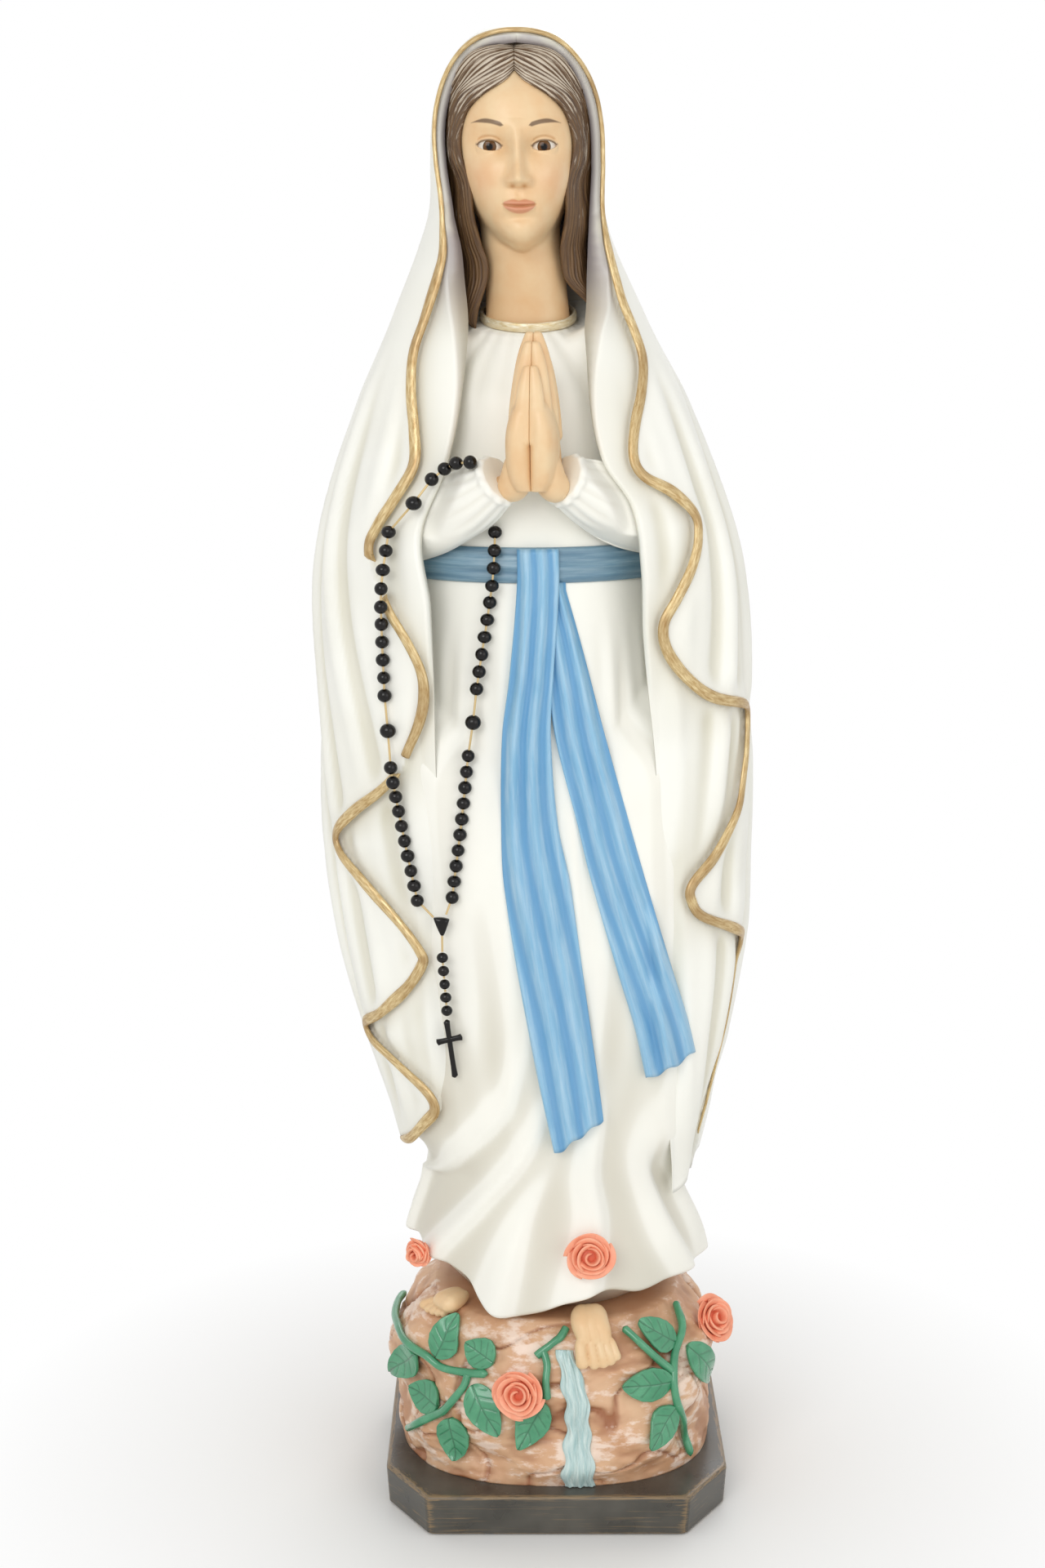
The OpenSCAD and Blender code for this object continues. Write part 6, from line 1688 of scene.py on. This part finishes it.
def buildFoot(ankle, high, heel, toes, breadth):  # five toes and three long swells that run up to the ankle
    heel, toes = np.array(heel, float), np.array(toes, float)
    across = unit(rockAt(heel[0] + 2, heel[1]) - rockAt(heel[0] - 2, heel[1]))

    def sole(u, v):  # a place on the rock, u across the foot and v from heel to toes
        q = mix(heel, toes, v)
        s = np.linalg.norm(rockAt(q[0] + 1, q[1]) - rockAt(q[0] - 1, q[1])) / 2
        return q[0] + u * breadth / 2 * mix(0.78, 1, v) / s, q[1]

    parts = []
    for u, reach, r in footForm["toes"]:
        r = r * breadth / 19
        line = [onRock(*sole(u * 0.9, 0.42), r + 1.6), onRock(*sole(u, 0.7), r + 1.1),
                onRock(*sole(u, reach - 0.1), r + 0.6), onRock(*sole(u * 0.98, reach), r * 0.9)]
        parts.append(limb(np.array(line), [r * 1.05, r * 0.92, r * 1.1, r * 0.95], up=(1.0, 0.3, 0.0)))
    for u in (-0.45, 0.0, 0.42):
        root = np.array(ankle + [figureZ + 0.6 + 0.6 * high]) + across * u * breadth * 0.3
        line = [root, onRock(*sole(u * 0.85, 0.15), 4.4), onRock(*sole(u, 0.36), 3.6),
                onRock(*sole(u, 0.58), 2.2)]
        size = np.array([0.7 * high + 1, 5.0, 4.0, 2.4]) * breadth / 19
        parts.append(limb(np.array(line), size, up=(1.0, 0.3, 0.0)))
    return parts


for name in ("front", "side"):
    parts, melt = buildFoot(*footForm[name]), (footForm["voxel"], footForm["smooth"])
    foot = fusedPiece("foot_" + name, parts, *melt, "skin")
    skinField(foot)

plinthForm = {"wide": 145.0, "deep": 145.0, "cutWide": 18.0, "cutDeep": 28.0, "low": 0.5, "high": 18.0,
              "draft": 1.0, "bevel": 1.3, "feltMargin": 6.0, "feltDeep": 1.5, "rows": 24, "perSide": 34}


def octagonLine(inset):  # an octagon with softened corners, points evenly along each side
    count = plinthForm["perSide"]
    x, y = plinthForm["wide"] / 2 - inset, plinthForm["deep"] / 2 - inset
    p, q = x - plinthForm["cutWide"], y - plinthForm["cutDeep"]
    corners = np.array([[x, -q], [x, q], [p, y], [-p, y], [-x, q], [-x, -q], [-p, -y], [p, -y]])
    share = np.linspace(0, 1, count, endpoint=False)[:, None]
    line = np.concatenate([mix(corners[i], corners[(i + 1) % 8], share) for i in range(8)])
    soft = (np.roll(line, 1, axis=0) + np.roll(line, -1, axis=0) + 2 * line) / 4
    near = np.minimum(np.arange(len(line)) % count, count - np.arange(len(line)) % count)
    return soft, np.exp(-near / 1.1)


# Octagons from the recess for the felt up the drafted sides and in over the top.
# Each level: inset, height, wear, and how much of a side it is.
def buildPlinth():
    low, high, bevel = plinthForm["low"], plinthForm["high"], plinthForm["bevel"]
    margin, draft = plinthForm["feltMargin"], plinthForm["draft"]
    levels = [(margin, plinthForm["feltDeep"], 0, 0), (margin, low, 0, 0), (draft + 0.7, low, 0.5, 0.5),
              (draft + 0.1, low + 0.6, 1, 1)]
    levels += [(mix(draft, 0, s), mix(low + 0.8, high - bevel, s), 0.35 * (2 * s - 1) ** 8, 1)
               for s in np.linspace(0, 1, plinthForm["rows"])]
    levels += [(bevel * (1 - cosd(w)), high - bevel * (1 - sind(w)), 0.75, 0.5)
               for w in (20, 40, 60, 80, 90)]
    levels += [(bevel + g, high, 0.75 * np.exp(-g / 1.2), 0) for g in (0.6, 1.4, 3, 8, 20, 40, 60)]
    rings, light, sides, uv = [], [], [], []
    for inset, z, wear, side in levels:
        line, corner = octagonLine(inset)
        rings.append(np.column_stack([line, np.full(len(line), z)]))
        light.append(np.maximum(wear, 0.7 * corner * side))
        sides.append(np.full(len(line), side))
        uv.append(np.column_stack([np.arange(len(line)) * 1.7, np.full(len(line), z + inset)]))
    return tubePart(np.array(rings), light=np.array(light), side=np.array(sides), uvMap=np.array(uv))


addPiece("plinth", [buildPlinth()], "plinth")

# Solids that stay as they are: chain, felt, screws and dowels
keptSolids = {"felt_pad": "felt", "base_screws": "steel", "figure_dowels": "beech", "waist_dowel": "beech",
              "wrist_dowels": "beech", "neck_dowel": "beech", "rosary_chain": "gilt"}
for node, paint in keptSolids.items():
    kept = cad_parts[node].data
    kept.materials.clear()
    kept.materials.append(paints[paint])
print("solids kept:", len(keptSolids))


stageForm = {
    # the photograph's view: sensor and lens in millimetres, place in metres, tilt in degrees
    "sensor": 36.0, "lens": 56.25, "camera": (-0.01455, -1.0048, 0.5186), "tilt": 12,
    "sky": (1.0, 0.99, 0.97, 1), "skyStrength": 0.62, "white": (1, 1, 1, 1),
    # lamps by place, size and watts, all aimed at one point
    "lamps": {"key": ((-0.6, -1.7, 1.2), 1.0, 13.0), "fill": ((1.1, -1.4, 0.7), 1.2, 5.0),
              "back": ((0.3, 1.4, 1.4), 1.2, 8.0)},
    "aim": (0.0, 0.0, 0.32),
    # half the floor's side, its colour, and the distances between which it fades to white
    "floorHalf": 6, "floor": (0.9, 0.9, 0.89, 1), "fade": (0.085, 0.27),
}
scene = bpy.context.scene


def seenDirectly(tree):  # 1 for rays from the camera and for those that metal and glass send on
    ray = addNode(tree, "LightPath", {}).outputs
    sentOn = sums(tree, "MAXIMUM", ray["Is Glossy Ray"], ray["Is Transmission Ray"])
    return sums(tree, "MAXIMUM", ray["Is Camera Ray"], sentOn)


def placeCamera():  # level with the horizon but for its tilt
    camera = bpy.data.objects.new("camera", bpy.data.cameras.new("camera"))
    camera.data.sensor_width = stageForm["sensor"]
    camera.data.lens = stageForm["lens"]
    camera.location = stageForm["camera"]
    camera.rotation_euler = (np.radians(90 - stageForm["tilt"]), 0, 0)
    scene.collection.objects.link(camera)
    scene.camera = camera


def buildSky():  # soft light all round, seen as white
    world = bpy.data.worlds.new("studio")
    world.use_nodes = True
    tree = world.node_tree
    tree.nodes.clear()
    soft = addNode(tree, "Background", {"Color": stageForm["sky"], "Strength": stageForm["skyStrength"]})
    white = addNode(tree, "Background", {"Color": stageForm["white"], "Strength": 1.0})
    both = addNode(tree, "MixShader", {0: seenDirectly(tree), 1: soft.outputs[0], 2: white.outputs[0]})
    out = tree.nodes.new("ShaderNodeOutputWorld")
    tree.links.new(both.outputs[0], out.inputs["Surface"])
    scene.world = world


def placeLamp(name, at, size, watts):  # turned from straight down to the line to its aim
    lamp = bpy.data.objects.new(name, bpy.data.lights.new(name, "AREA"))
    lamp.data.size = size
    lamp.data.energy = watts
    lamp.location = at
    x, y, z = unit(np.array(stageForm["aim"]) - np.array(at))
    lamp.rotation_euler = (float(np.arccos(-z)), 0, float(np.arctan2(y, x) - np.pi / 2))
    scene.collection.objects.link(lamp)


def buildFloor():  # a pale sheet that fades to white round the statue
    half = stageForm["floorHalf"]
    mesh = bpy.data.meshes.new("floor")
    corners = [(-half, -half, 0), (half, -half, 0), (half, half, 0), (-half, half, 0)]
    mesh.from_pydata(corners, [], [(0, 1, 2, 3)])
    floor = bpy.data.objects.new("floor", mesh)
    pale, tree, shader, objects, _ = startMaterial("paleFloor")
    dress(tree, shader, stageForm["floor"], 0.9, Specular_IOR_Level=0.1)
    far = addNode(tree, "VectorMath", {0: objects}, operation="LENGTH").outputs["Value"]
    fade = sums(tree, "MULTIPLY", fitRange(tree, far, *stageForm["fade"]), seenDirectly(tree))
    white = addNode(tree, "Emission", {"Color": stageForm["white"], "Strength": 1.0})
    both = addNode(tree, "MixShader", {0: fade, 1: shader.outputs[0], 2: white.outputs[0]})
    tree.links.new(both.outputs[0], tree.nodes["Material Output"].inputs["Surface"])
    floor.data.materials.append(pale)
    scene.collection.objects.link(floor)


placeCamera()
buildSky()
for name, lamp in stageForm["lamps"].items():
    placeLamp(name, *lamp)
buildFloor()
scene.view_settings.view_transform = "Standard"
print("stage set")
